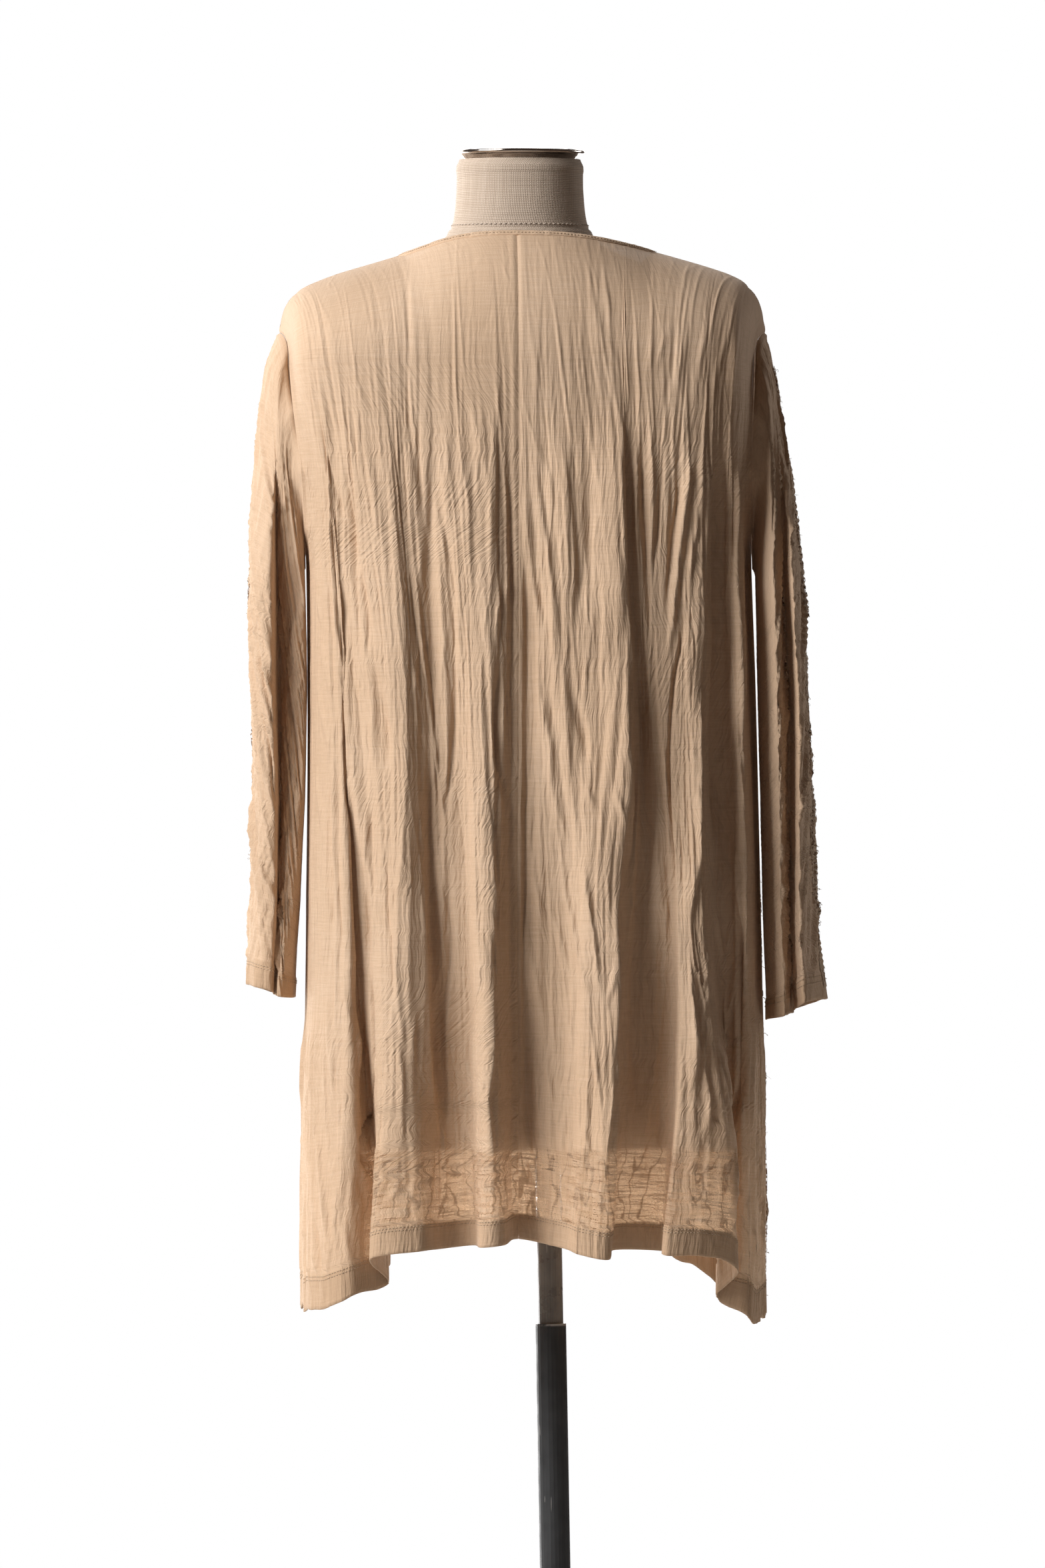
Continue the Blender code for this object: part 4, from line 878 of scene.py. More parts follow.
def seams(girth, columns):
    """The cloth sinks into its two side seams, with a soft lip beside each."""
    share = np.arange(columns) / (columns - 1)
    near = np.minimum(share, 1 - share)[None] * girth[:, None]
    lip = SEAM_LIP * bell(near - SEAM_LIP_AT, SEAM_LIP_WIDE)
    return lip - SIDE_SEAM_DEEP * bell(near, SEAM_WIDE), smooth_step(1, 7, near)


def panel_rows(above, between, below):
    """Rows over the shoulder, down to the skirt and down to the hem, as panel_points takes them."""
    return np.concatenate([
        np.linspace(0, 1, round(above * FINE), endpoint=False),
        np.linspace(1, 2, round(between * FINE), endpoint=False),
        np.linspace(2, 3, round(below * FINE))])


def strewn(seed, kind, girth, down, columns, slope=None, closed=False):
    many, lengths, widths, heights, spread = kind
    mean = girth.mean()
    count = round(many * mean * down[-1] * MM * MM)
    creases = scattered(seed, count, down[-1], lengths, widths, heights, spread, mean, slope)
    return crease_heights(girth, down, columns, creases, closed)


def fold_heights(grid, down, folds):
    """Listed folds, added up over a panel's grid.

    A fold follows a smooth path through points given as x and z, each put on the grid's nearest point, and
    on the outer one of two layers. Across it, it is a tent with its own width on each side."""
    rows, columns = grid.shape[:2]
    outer = np.abs(grid[..., 1]).max()
    layer = INNER_LAYER * (outer - np.abs(grid[..., 1])) ** 2
    share = np.arange(columns) / (columns - 1)
    girth = lengths_round(grid)[:, -1]
    total = np.zeros((rows, columns))
    for left, right, high, path in folds:
        ends = []
        for x, z in path:
            cost = (grid[..., 0] - x) ** 2 + (grid[..., 2] - z) ** 2 + layer
            row, column = np.unravel_index(cost.argmin(), cost.shape)
            ends.append((down[row], share[column]))
        ends = np.array(sorted(ends))
        first, last = np.searchsorted(down, (ends[0, 0], ends[-1, 0]))
        r = np.arange(first, last)
        if len(r) < 3:
            continue
        at = np.linspace(0, len(ends) - 1, PATH_STEPS)
        padded = np.pad(curve(ends[:, 1], at), PATH_EVEN, mode="reflect", reflect_type="odd")
        even = np.convolve(padded, np.ones(2 * PATH_EVEN + 1) / (2 * PATH_EVEN + 1), mode="valid")
        middle = np.interp(down[r], np.maximum.accumulate(curve(ends[:, 0], at)), even)
        long = down[last - 1] - down[first]
        t = (down[r] - down[first]) / long
        taper = min(max(TAPER / long, SHORTEST_TAPER), 0.5)
        end = np.minimum(smooth_step(0, taper, t), smooth_step(0, taper, 1 - t))[:, None]
        d = (share[None] - middle[:, None]) * girth[r][:, None]
        total[r] += high * end * tent(d / np.where(d < 0, left, right))
    return total


def panel_cloth(panel, first, last, columns, rows, seed, folds):
    """One panel: its hanging form, moved out along its normals by its crinkles, creases and seams."""
    columns = round(columns * FINE)
    probe = np.array((0.5, 1.0, 1.5, 2.0, 2.5))
    from_line, to_line = sorted((first, last))
    lines = evenly(lambda dense: panel_grid(panel, dense, probe), from_line, to_line, columns)
    if first > last:
        lines = lines[::-1]
    grid = panel_grid(panel, lines, rows)
    normals = normals_of(grid)
    girth, down = lengths_round(grid)[:, -1], lengths_down(grid)
    groove, fade = seams(girth, columns)
    hem = hem_step(down)
    far, height = np.abs(grid[..., 0]), grid[..., 2]
    x_yoke = panel_grid(panel, lines, np.array((1.0,)))[0, :, 0]

    def slope(place, depth):
        x = np.interp(place, np.linspace(0, 1, columns), x_yoke)
        return np.interp(x, YOKE_SLANT_X, YOKE_SLANT) * np.interp(depth, *SLANT_SHARE)

    lift = crinkled(girth, down, columns, seed) + strewn(seed + 1, MIDDLE, girth, down, columns, slope)
    lift = lift * share_at(down, SOFT_SHARE)
    lift += strewn(seed + 2, THIN, girth, down, columns, slope) * share_at(down, FINE_SHARE)
    lift += strewn(seed + 3, SHORT, girth, down, columns) * share_at(down, SHORT_SHARE)
    flank = smooth_step(*FLANK_X, far) * smooth_step(*FLANK_Z, height)
    aside = smooth_step(*ASIDE_TURN, np.abs(normals[..., 0])) * smooth_step(*ASIDE_Z, height)
    lift = lift * (1 + FLANK_MORE * flank) * (1 - ASIDE_FLATTER * aside) - ASIDE_IN * aside
    lift = lift + fold_heights(grid, down, folds) * share_at(down, FOLD_SHARE)
    lift = lift * fade * (1 - HEM_FLATTER * hem) + groove + HEM_OUT * hem
    grid = grid + normals * lift[..., None]
    along = girth[:, None] * np.linspace(0, 1, columns) / TIP_PITCH
    wave = TIP_WAVE * (smooth_noise(along, 0 * along, seed + 6) - 0.5)
    grid[..., 2] += wave * smooth_step(*TIP_X, np.abs(grid[..., 0])) * smooth_step(*TIP_Z, grid[..., 2])
    return grid, down


def sleeve_cloth(side, columns, rows, seed, creases):
    """One sleeve: a tube from the armhole to the cuff, with slanting crinkles."""
    columns, rows = round(columns * FINE), round(rows * FINE)
    probe, inwards = np.array((0.2, 0.4, 0.6, 0.9)), 1
    around = 2 * len(ARMHOLE_ROWS) - 2
    places = evenly(lambda dense: sleeve_grid(side, dense, probe), 0, around, columns + 1)[:-1]
    if side == "right":
        places, inwards = places[::-1], -1
    grid = sleeve_grid(side, places, np.linspace(0, 1, rows) ** (1 / SLEEVE_DROP))
    normals = normals_of(grid, closed=True)
    girth, down = lengths_round(grid)[:, -1] * columns / (columns - 1), lengths_down(grid)
    hem = hem_step(down, CUFF_HEM_DEEP)
    slant = SLEEVE_SLANT[side]
    lift = crinkled(girth, down, columns, seed, slant, closed=True)
    for k, kind in enumerate((MIDDLE, THIN, SHORT)):
        lift += strewn(seed + 1 + k, kind, girth, down, columns, lambda place, depth: slant, closed=True)
    lift += crease_heights(girth, down, columns, creases, closed=True)
    inside = smooth_step(0.3, 0.75, inwards * normals[..., 0])
    lift = lift * (SLEEVE_OUTSIDE - SLEEVE_FLATTER * inside) * share_at(down, SLEEVE_SHARE)
    lift = lift - SLEEVE_IN * inside
    lift = lift * smooth_step(1, 14, down)[:, None] * (1 - CUFF_FLATTER * hem) + HEM_OUT * hem
    lift = lift - ARMHOLE_SEAM_DEEP * bell(down, SEAM_WIDE)[:, None]
    lift += ARMHOLE_LIP * bell(down - SEAM_LIP_AT, SEAM_LIP_WIDE)[:, None]
    return grid + normals * lift[..., None], down


def finish_cloth(name, material, grid, doubled, closed=False):
    """A cloth piece with its hem turned up, whose attribute hem is 1 where the cloth is doubled."""
    normals = normals_of(grid, closed)
    whole = turned_up(grid, normals, doubled)
    piece = grid_mesh(name, whole, closed)
    on_hem = np.repeat((np.arange(len(whole)) >= len(grid) - doubled).astype(np.float32), whole.shape[1])
    piece.data.attributes.new("hem", "FLOAT", "POINT").data.foreach_set("value", on_hem)
    finish_piece(piece, material, "crinkled_jersey")
    return piece, normals


def stitch_row(line, out, pitch=3.0, size=(1.15, 0.32, 0.45), closed=False, sink=0.05):
    """Stitches along a line of points: a small bar at each pitch, flat on the cloth."""
    if closed:
        line, out = np.concatenate([line, line[:1]]), np.concatenate([out, out[:1]])
    run = run_along(line)
    at = np.arange(pitch, run[-1] - pitch / 2, pitch)
    origins, faces_out, ahead = (
        np.stack([np.interp(spot, run, values[:, k]) for k in range(3)], 1)
        for spot, values in ((at, line), (at, out), (at + 0.6, line)))
    faces_out = unit(faces_out)
    return bars_on(origins - faces_out * sink, unit(ahead - origins), faces_out, size)


def hem_stitches(name, material, grid, normals, down, heights, closed=False):
    rows = [int(np.searchsorted(down, down[-1] - height)) for height in heights]
    piece = mesh_object(name, *joined([stitch_row(grid[row], normals[row], closed=closed) for row in rows]))
    finish_piece(piece, material, "crinkled_jersey")
    return piece


# The binding's section: how far down from the neck's edge, and how far out
BINDING = np.array((
    (6.0, -0.9), (3.0, -1.5), (0.8, -1.45), (-0.1, -0.9), (-0.3, 0.0), (0.1, 0.85), (1.0, 1.35), (2.2, 1.4),
    (3.3, 1.35), (4.1, 1.25), (4.7, 0.85), (5.0, 0.7), (5.3, 0.95), (5.9, 0.95), (6.5, 0.3), (6.4, -0.4)))
BINDING_SEAM = 4.3, 1.25


def binding():
    """The neckline's band: a rounded profile carried round the neckline, with its seam pressed in below.

    It gives the mesh object, and the line and the outward way of its stitches."""
    around = round(900 * FINE)
    top_rows = np.array((0.0, 0.04))
    back = panel_grid(BACK, np.linspace(*BACK.neck, around // 2), top_rows)
    front = panel_grid(FRONT, np.linspace(*FRONT.neck[::-1], around - around // 2 + 1), top_rows)[:, 1:]
    edge, below = np.concatenate([back, front[:, :-1]], axis=1)
    inward = unit(below - edge)
    ahead = unit(np.roll(edge, -1, axis=0) - np.roll(edge, 1, axis=0))
    out = unit(np.cross(inward, ahead))
    fall = np.cross(ahead, out)
    fall = fall * np.sign((fall * inward).sum(axis=1, keepdims=True))
    for _ in range(6):  # evened out along the neckline
        out, fall = (
            unit(np.roll(way, 1, axis=0) + 2 * way + np.roll(way, -1, axis=0)) for way in (out, fall))
    run = np.arange(len(edge)) * np.linalg.norm(np.diff(edge, axis=0), axis=1).mean()
    wave = smooth_noise(run / 4.0, 0 * run, 71)[:, None, None] - 0.5
    slow = smooth_noise(run / 17.0, 0 * run, 72)[:, None, None] - 0.5
    grid = (edge[:, None] + fall[:, None] * (BINDING[None, :, :1] * (1 + 0.10 * slow) + 0.35 * wave)
            + out[:, None] * (BINDING[None, :, 1:] * (1 + 0.35 * wave)))
    run, section = np.append(run, run[-1] + run[1]), run_along(BINDING)
    uv = grid_uv(*np.meshgrid(run, np.append(section, section[-1] + 1.0), indexing="ij"))
    quads = grid_quads(*grid.shape[:2], closed=True, looped=True)
    piece = mesh_object("neck_binding_band", grid.reshape(-1, 3), quads, uv)
    return piece, edge + fall * BINDING_SEAM[0] + out * BINDING_SEAM[1], out


TRIM_HALF, TRIM_OUT, TRIM_ROUGH = 5, 0.9, 1.2  # columns on each side, how far out it lies, its unevenness
YARN_STEPS, YARN_RADII, LONG_YARNS, LONGER = 12, (0.16, 0.36), 0.15, 1.6
YARN_OUT, YARN_ASIDE, YARN_DOWN = (0.2, 0.9), (0.1, 1.0), (-0.2, 0.9)  # shares of their ways
YARN_DROOP, YARN_WAVE, YARN_TURNS = 0.35, 0.22, (1.2, 3.4)


def frayed(name, grid, normals, column, rows_from, rows_to, count, lengths, seed, closed, materials):
    """A frayed trim: an open-work strip along a column of the cloth, and loose wavy yarns that leave it."""
    rng = np.random.default_rng(seed)
    columns = column + np.arange(-TRIM_HALF, TRIM_HALF + 1)[None]
    columns = columns % grid.shape[1] if closed else np.clip(columns, 1, grid.shape[1] - 2)
    rows = np.arange(rows_from, rows_to)
    r = rows[:, None]
    strip = grid[r, columns] + normals[r, columns] * TRIM_OUT
    rough = smooth_noise(columns / 2 + 0 * r, r / 3, seed)[..., None] - 0.5
    strip += rough * TRIM_ROUGH * normals[r, columns]
    backing = grid_mesh(name + "_net", strip)
    finish_piece(backing, materials[0], "frayed_yarn")
    at = np.floor(rng.uniform(0, len(rows) - 1, count)).astype(int)
    base = strip[at, rng.integers(0, 2 * TRIM_HALF + 1, count)]
    row = rows[at]
    beside = unit(grid[row, (column - 8) % grid.shape[1]] - grid[row, column])
    way = unit(normals[row, column] * rng.uniform(*YARN_OUT, (count, 1))
               + beside * rng.uniform(*YARN_ASIDE, (count, 1))
               + np.array([0, 0, -1.0]) * rng.uniform(*YARN_DOWN, (count, 1)))
    long = (rng.uniform(*lengths, count) * np.where(rng.random(count) < LONG_YARNS, LONGER, 1.0))[:, None]
    steps = np.linspace(0, 1, YARN_STEPS)
    paths = base[:, None] + way[:, None] * long[..., None] * steps[None, :, None]
    paths[..., 2] -= YARN_DROOP * long * steps**2
    for axis in range(3):
        turn = rng.uniform(*YARN_TURNS, (count, 1))
        start = rng.uniform(0, 2 * math.pi, (count, 1))
        swing = np.sin(start + turn * 2 * math.pi * steps) - np.sin(start)
        paths[..., axis] += YARN_WAVE * long * swing * steps
    radii = rng.uniform(*YARN_RADII, (count, 1)) * (1 - 0.5 * steps)
    yarns = mesh_object(name + "_yarns", *tubes_along(paths, radii))
    finish_piece(yarns, materials[1], "frayed_yarn")
    return backing, yarns


# --- the dress form -------------------------------------------------------------------------------------

# Height, half width, depth of its back and depth of its front
FORM_RINGS = (
    (636, 150, 92, 88), (660, 159, 99, 94), (720, 168, 106, 102), (780, 169, 108, 104),
    (860, 158, 98, 100), (940, 132, 84, 92), (1000, 120, 78, 88), (1060, 126, 82, 98),
    (1120, 140, 92, 116), (1160, 148, 98, 120), (1210, 156, 102, 110), (1260, 165, 101, 94),
    (1300, 174, 96, 80), (1325, 179, 86, 68), (1341, 176, 76, 58), (1351, 168, 68, 50),
    (1359, 155, 61, 44), (1367, 133, 55, 40), (1375, 107, 52, 40), (1384, 83, 52, 43),
    (1394, 66, 53, 47), (1410, 57, 52.5, 50), (1436, 54, 52, 52), (1457, 53.5, 52, 52),
    (1463, 51, 49.5, 49.5),
)
FORM_SIDES, FORM_CORNER, FORM_INSET, FORM_MIDDLE_Z = 192, 2.25, 0.5, 640.0
FORM_ROWS = ((636, 1290, 110), (1290, 1380, 40), (1380, 1463, 70))  # from, to and how many
NECK_SEAMS = (math.pi / 2, 0.0, -math.pi + 0.0001)  # angles of the seams that go up the neck
BODY_SEAMS = (-math.pi / 2, -2.1, -1.04, 2.1, 1.04)
NECK_SEAM_TOP, BODY_SEAM_TOP = (1463, 1458), (1404, 1400)
SEAM_GROOVE, SEAM_GROOVE_WIDE, NECK_GROOVE, NECK_GROOVE_WIDE = 0.7, 1.6, 0.8, 1.1
NECK_LIP, NECK_LIP_BELOW, NECK_LIP_WIDE = 0.35, 2.8, 1.6
TOP_EDGE_Z, TOP_EDGE_OUT = (1451, 1453), 0.5  # the cover's edge is turned over under the cap
NECK_SEAM_Z, NECK_STITCHES_Z = 1405.0, (1407.6, 1407.2)
CAP_SIDES, CAP_SHARP = 128, 50
# The cap's section: radius, height
CAP_PROFILE = (
    (0.01, 1475.0), (12, 1474.9), (24, 1474.2), (36, 1472.9), (45, 1471.4), (50, 1470.6),
    (52.2, 1470.9), (53.8, 1470.8), (54.7, 1470.1), (54.9, 1469.2), (54.6, 1468.3), (53.6, 1467.7),
    (52.2, 1467.4), (49.6, 1466.6), (47.6, 1465.4), (46.7, 1464.2), (46.5, 1463.4), (40, 1463.3),
    (0.01, 1463.3),
)


def form_rings(heights, sides):
    """Rings |x / width|^c + |y / depth|^c = 1 at the heights, with sizes between the table's."""
    level, *sizes = np.array(FORM_RINGS).T
    place = np.interp(heights, level, np.arange(len(level)))
    wide, back, front = ((curve(size, place) - FORM_INSET)[:, None] for size in sizes)
    angle = 2 * math.pi * np.arange(sides) / sides - math.pi
    cos, sin = np.cos(angle), np.sin(angle)
    x = wide * np.sign(cos) * np.abs(cos) ** (2 / FORM_CORNER)
    y = np.where(sin < 0, back, front) * np.sign(sin) * np.abs(sin) ** (2 / FORM_CORNER)
    return np.stack([x, y, np.repeat(heights[:, None], sides, axis=1)], axis=-1)


def form_cover(material, thread):
    """The form's linen cover, with its seams pressed in, its neck seam stitched and its top turned over."""
    rows = [np.linspace(high, low, count) for low, high, count in FORM_ROWS[::-1]]
    heights = np.unique(np.concatenate(rows))[::-1]
    grid = form_rings(heights, FORM_SIDES)
    normals = normals_of(grid, closed=True)
    z = heights[:, None]
    turn = np.linspace(-math.pi, math.pi, FORM_SIDES, endpoint=False)[None]
    lift = NECK_LIP * bell(z - NECK_SEAM_Z + NECK_LIP_BELOW, NECK_LIP_WIDE) + 0 * turn
    lift -= NECK_GROOVE * bell(z - NECK_SEAM_Z, NECK_GROOVE_WIDE)
    for seam in NECK_SEAMS + BODY_SEAMS:
        far = np.abs((turn - seam + math.pi) % (2 * math.pi) - math.pi) * 100
        top = NECK_SEAM_TOP if seam in NECK_SEAMS else BODY_SEAM_TOP
        lift -= SEAM_GROOVE * bell(far, SEAM_GROOVE_WIDE) * smooth_step(*top, z)
    lift += TOP_EDGE_OUT * smooth_step(*TOP_EDGE_Z, z)
    grid = grid + normals * lift[..., None]
    bottom = grid[-1:] * np.array([0.97, 0.97, 1.0]) + np.array([0, 0, 1.5])
    middle = np.broadcast_to((0.0, 0.0, FORM_MIDDLE_Z), bottom.shape)
    top = grid[:1] * np.array([0.9, 0.9, 1.0])
    grid = np.concatenate([top, grid, bottom, bottom * 0.5 + middle * 0.5, middle * 0.97 + bottom * 0.03])
    finish_piece(grid_mesh("form_cover", grid, closed=True), material, "linen", "form_body")
    ring = form_rings(np.array(NECK_STITCHES_Z), 400)
    out = normals_of(ring, closed=True)
    bars = stitch_row(ring[0], out[0], pitch=4.2, size=(1.5, 0.4, 0.5), closed=True, sink=-0.1)
    finish_piece(mesh_object("form_neck_stitches", *bars), thread, "linen")


def turned(name, profile, sides, material, slot, *nodes):
    """A turned piece: the profile, given as radius and height, goes round the form's middle line."""
    radius, height = np.array(profile, float).T[:, :, None]
    angle = 2 * math.pi * np.arange(sides) / sides
    grid = np.stack([radius * np.cos(angle), radius * np.sin(angle), height + 0 * angle], axis=-1)
    quads = grid_quads(len(profile), sides, closed=True)
    piece = mesh_object(name, grid.reshape(-1, 3), quads, sharp_angle=CAP_SHARP)
    finish_piece(piece, material, slot, *nodes)


# --- light and ground -----------------------------------------------------------------------------------

# Lamps: name, place, what they look at, height and width in metres, power and colour
MIDDLE_X = FORM_X * MM
LAMPS = (
    ("key", (-2.93, -1.80, 2.85), (MIDDLE_X, 0, 1.35), 2.6, 2.6, 266, (0.97, 0.98, 1.0)),
    ("behind", (-0.75, 1.9, 1.1), (MIDDLE_X, 0, 1.0), 2.7, 2.7, 120, (1, 1, 1)),
    ("rim", (1.7, 1.25, 1.6), (MIDDLE_X, 0, 1.2), 0.8, 0.8, 11, (1, 1, 1)),
    ("under_form", (MIDDLE_X, 0.105, 0.59), (MIDDLE_X, -0.15, 0.59), 0.04, 0.24, 0.42, (1, 0.96, 0.90)),
)
FLOOR_SIDES, FLOOR_RADIUS = 96, 1.4


def area_light(name, place, target, high, wide, power, colour):
    data = bpy.data.lights.new(name, "AREA")
    data.shape, data.size, data.size_y, data.energy, data.color = "RECTANGLE", wide, high, power, colour
    lamp = bpy.data.objects.new(name, data)
    lamp.location = place
    lamp.rotation_euler = (Vector(target) - Vector(place)).to_track_quat("-Z", "Y").to_euler()
    lamp.visible_camera = False
    bpy.context.scene.collection.objects.link(lamp)


def make_studio():
    scene = bpy.context.scene
    scene.view_settings.view_transform = "Standard"
    world = bpy.data.worlds.new("studio")
    scene.world = world
    world.use_nodes = True
    tree = world.node_tree
    tree.nodes.clear()
    seen, lit = (node(tree, "ShaderNodeBackground", {"Color": colour, "Strength": strength}).outputs[0]
                 for colour, strength in (((1, 1, 1, 1), 1.0), ((1.0, 0.755, 0.62, 1), 0.060)))
    camera_ray = node(tree, "ShaderNodeLightPath").outputs["Is Camera Ray"]
    to_output(tree, mixed(tree, camera_ray, lit, seen), "ShaderNodeOutputWorld")
    for lamp in LAMPS:
        area_light(*lamp)


def make_floor():
    angle = 2 * math.pi * np.arange(FLOOR_SIDES) / FLOOR_SIDES
    ring = np.stack([np.cos(angle) * FLOOR_RADIUS, np.sin(angle) * FLOOR_RADIUS, 0 * angle], -1)
    mesh = bpy.data.meshes.new("floor")
    mesh.from_pydata(ring.tolist(), [], [list(range(FLOOR_SIDES))])
    floor = bpy.data.objects.new("floor", mesh)
    bpy.context.scene.collection.objects.link(floor)
    made, tree = new_material("pale_floor")
    patches = noise(tree, own_place(tree), (3, 3, 3))
    tone = ramp(tree, patches, (0.3, (0.62, 0.60, 0.58)), (0.7, (0.70, 0.68, 0.66)))
    to_output(tree, principled(tree, {"Base Color": tone, "Roughness": 0.6}))
    mesh.materials.append(made)


# --- creases given one by one ---------------------------------------------------------------------------

# Folds of the back's two halves: width on its left, width on its right, height, and the points that it runs
# through as x and z. A height below 0 is a trough
LEFT_BACK_RELIEF = (
    (9, 4, 0.8, ((-182, 1300), (-176, 1262), (-169, 1200), (-161, 1150), (-159, 1105))),
    (10, 4, 0.8, ((-178, 1300), (-168, 1270), (-161, 1240), (-157, 1200))),
    (12, 4, 1.5, ((-161, 1295), (-152, 1262), (-146, 1240), (-140, 1220), (-130, 1195), (-122, 1172))),
    (7, 3, 1.2, ((-140, 1290), (-136, 1272), (-128, 1250), (-122, 1225))),
    (12, 9, 3.0, ((-151, 1245), (-149, 1200), (-148, 1120), (-150, 1060), (-147, 1040))),
    (16, 8, 5.0, ((-149, 1075), (-147, 1040), (-142, 1000), (-139, 960), (-134, 920), (-129, 885),
        (-124, 850))),
    (10, 6, 2.2, ((-129, 890), (-125, 855), (-121, 825), (-119, 795))),
    (14, 4, 4.5, ((-146, 950), (-143, 895), (-141, 850), (-138, 800), (-137, 760), (-135, 725))),
    (16, 3, 6.0, ((-138, 770), (-135, 725), (-138, 690), (-136, 650), (-131, 615), (-127, 580), (-126, 562))),
    (12, 6, -4.5, ((-148, 1208), (-142, 1172), (-138, 1130), (-131, 1100), (-127, 1070), (-121, 1028))),
    (14, 7, -5.5, ((-125, 1055), (-121, 1025), (-113, 990), (-110, 970), (-115, 942), (-116, 930))),
    (20, 12, 2.4, ((-104, 1140), (-99, 1100), (-97, 1050), (-97, 1010), (-96, 985))),
    (20, 12, 2.8, ((-97, 1030), (-96, 990), (-93, 955), (-95, 920), (-95, 880), (-93, 830), (-92, 790),
        (-93, 752))),
    (5, 4, 2.4, ((-76, 1245), (-77, 1200), (-79, 1160), (-82, 1130), (-83, 1105), (-82, 1075))),
    (4, 3, 2.0, ((-83, 1065), (-87, 1030), (-84, 1010), (-81, 988))),
    (8, 9, -5.0, ((-74, 1225), (-75, 1180), (-77, 1110), (-74, 1050), (-73, 1000), (-72, 940))),
    (8, 10, -7.5, ((-73, 980), (-73, 900), (-72, 840), (-71, 790), (-70, 730), (-66, 680), (-62, 640))),
    (12, 3, 4.5, ((-82, 880), (-80, 850), (-81, 825), (-78, 780), (-78, 750), (-75, 700), (-71, 642))),
    (12, 3, 4.0, ((-73, 665), (-71, 640), (-74, 600), (-76, 570), (-78, 552))),
    (3, 5, -3.2, ((-66, 1192), (-62, 1150), (-57, 1110), (-55, 1060), (-55, 1000), (-58, 945), (-63, 905),
        (-68, 882))),
    (7, 3, 0.8, ((-88, 1250), (-88, 1200), (-86, 1150), (-88, 1120))),
    (6, 3, 1.6, ((-63, 1250), (-61, 1225), (-62, 1195), (-58, 1160), (-55, 1130))),
    (7, 3, 2.2, ((-48, 1250), (-47, 1210), (-44, 1180), (-43, 1150), (-41, 1110), (-38, 1080))),
    (6, 3, 1.6, ((-36, 1262), (-33, 1230), (-31, 1210), (-33, 1185))),
    (14, 3, 2.4, ((-24, 1262), (-21, 1222), (-22, 1180), (-25, 1110), (-24, 1040), (-23, 985))),
    (16, 4, 3.2, ((-24, 1010), (-23, 960), (-25, 900), (-21, 860), (-20, 840), (-25, 800), (-26, 780))),
    (16, 4, 4.5, ((-18, 800), (-20, 772), (-23, 750), (-22, 705), (-27, 680), (-23, 640), (-22, 600),
        (-19, 574))),
    (4, 6, -4.0, ((-9, 1215), (-6, 1160), (-5, 1100), (-7, 1062))),
    (6, 6, -4.5, ((-13, 1050), (-18, 1010), (-18, 960), (-13, 930), (-12, 895))),
    (9, 4, -3.6, ((-2, 1180), (-2, 1080), (-2, 940), (-3, 820), (-2, 760), (-3, 640), (-4, 572))),
    (3, 3, 1.6, ((-14, 1120), (-18, 1092), (-20, 1060), (-15, 1035))),
    (3, 2, 1.5, ((-8, 1130), (-11, 1100), (-16, 1075))),
    (8, 4, -3.8, ((-58, 882), (-60, 850), (-58, 820), (-57, 795), (-61, 765), (-64, 735), (-62, 690))),
    (9, 5, 2.0, ((-45, 885), (-47, 850), (-46, 800), (-44, 760), (-46, 715))),
    (3, 3, -2.8, ((-110, 880), (-111, 840), (-108, 812), (-107, 780), (-108, 752), (-116, 728))),
    (6, 9, -4.0, ((-129, 885), (-129, 820), (-127, 765))),
    (7, 3, 2.4, ((-104, 745), (-102, 728), (-98, 700), (-98, 650), (-97, 612))),
    (4, 3, 2.0, ((-120, 712), (-112, 724), (-105, 742))),
    (4, 3, 1.8, ((-118, 640), (-112, 612), (-117, 590), (-122, 574))),
    (5, 3, 2.2, ((-92, 622), (-100, 604), (-107, 592), (-114, 580))),
    (4, 3, 1.8, ((-86, 612), (-90, 596), (-97, 580))),
    (3, 3, 1.6, ((-86, 762), (-87, 742), (-90, 722), (-86, 700))),
    (4, 3, 1.6, ((-95, 752), (-97, 735), (-96, 712))),
    (3, 3, -2.4, ((-40, 765), (-38, 745), (-39, 720), (-38, 700))),
    (5, 3, 1.8, ((-45, 668), (-43, 648), (-40, 620))),
    (6, 2, -13.0, ((-126, 790), (-124, 740), (-125, 690), (-128, 650), (-129, 610), (-129, 560),
        (-129, 530))),
    (5, 3, 2.6, ((-180, 660), (-174, 650), (-168, 620), (-166, 590))),
    (5, 3, 2.0, ((-160, 640), (-156, 610), (-150, 580), (-147, 560))),
    (4, 3, 2.4, ((-158, 600), (-154, 575), (-152, 552), (-155, 535))),
    (7, 3, 3.4, ((-172, 640), (-166, 600), (-160, 560), (-157, 520))),
    (6, 4, -3.0, ((-176, 590), (-170, 560), (-168, 530), (-170, 505))),
    (5, 3, 3.0, ((-148, 590), (-144, 560), (-141, 535), (-142, 515))),
    (4, 5, 2.6, ((-178, 560), (-173, 540), (-166, 520), (-163, 504))),
    (6, 3, 1.6, ((-166, 880), (-163, 850), (-158, 820), (-152, 790), (-147, 765))),
    (6, 3, 1.5, ((-172, 1070), (-166, 1045), (-159, 1015), (-156, 995))),
    (5, 3, 1.8, ((-176, 1030), (-168, 1000), (-162, 975), (-157, 950))),
    (5, 3, 1.6, ((-178, 960), (-172, 930), (-168, 905), (-164, 880))),
    (4, 3, 1.4, ((-174, 1100), (-170, 1080), (-165, 1060))),
    (5, 3, 1.4, ((-132, 1240), (-126, 1205), (-118, 1170), (-114, 1130), (-110, 1100))),
    (8, 4, 0.8, ((-101, 1250), (-95, 1220), (-90, 1190), (-87, 1150))),
)
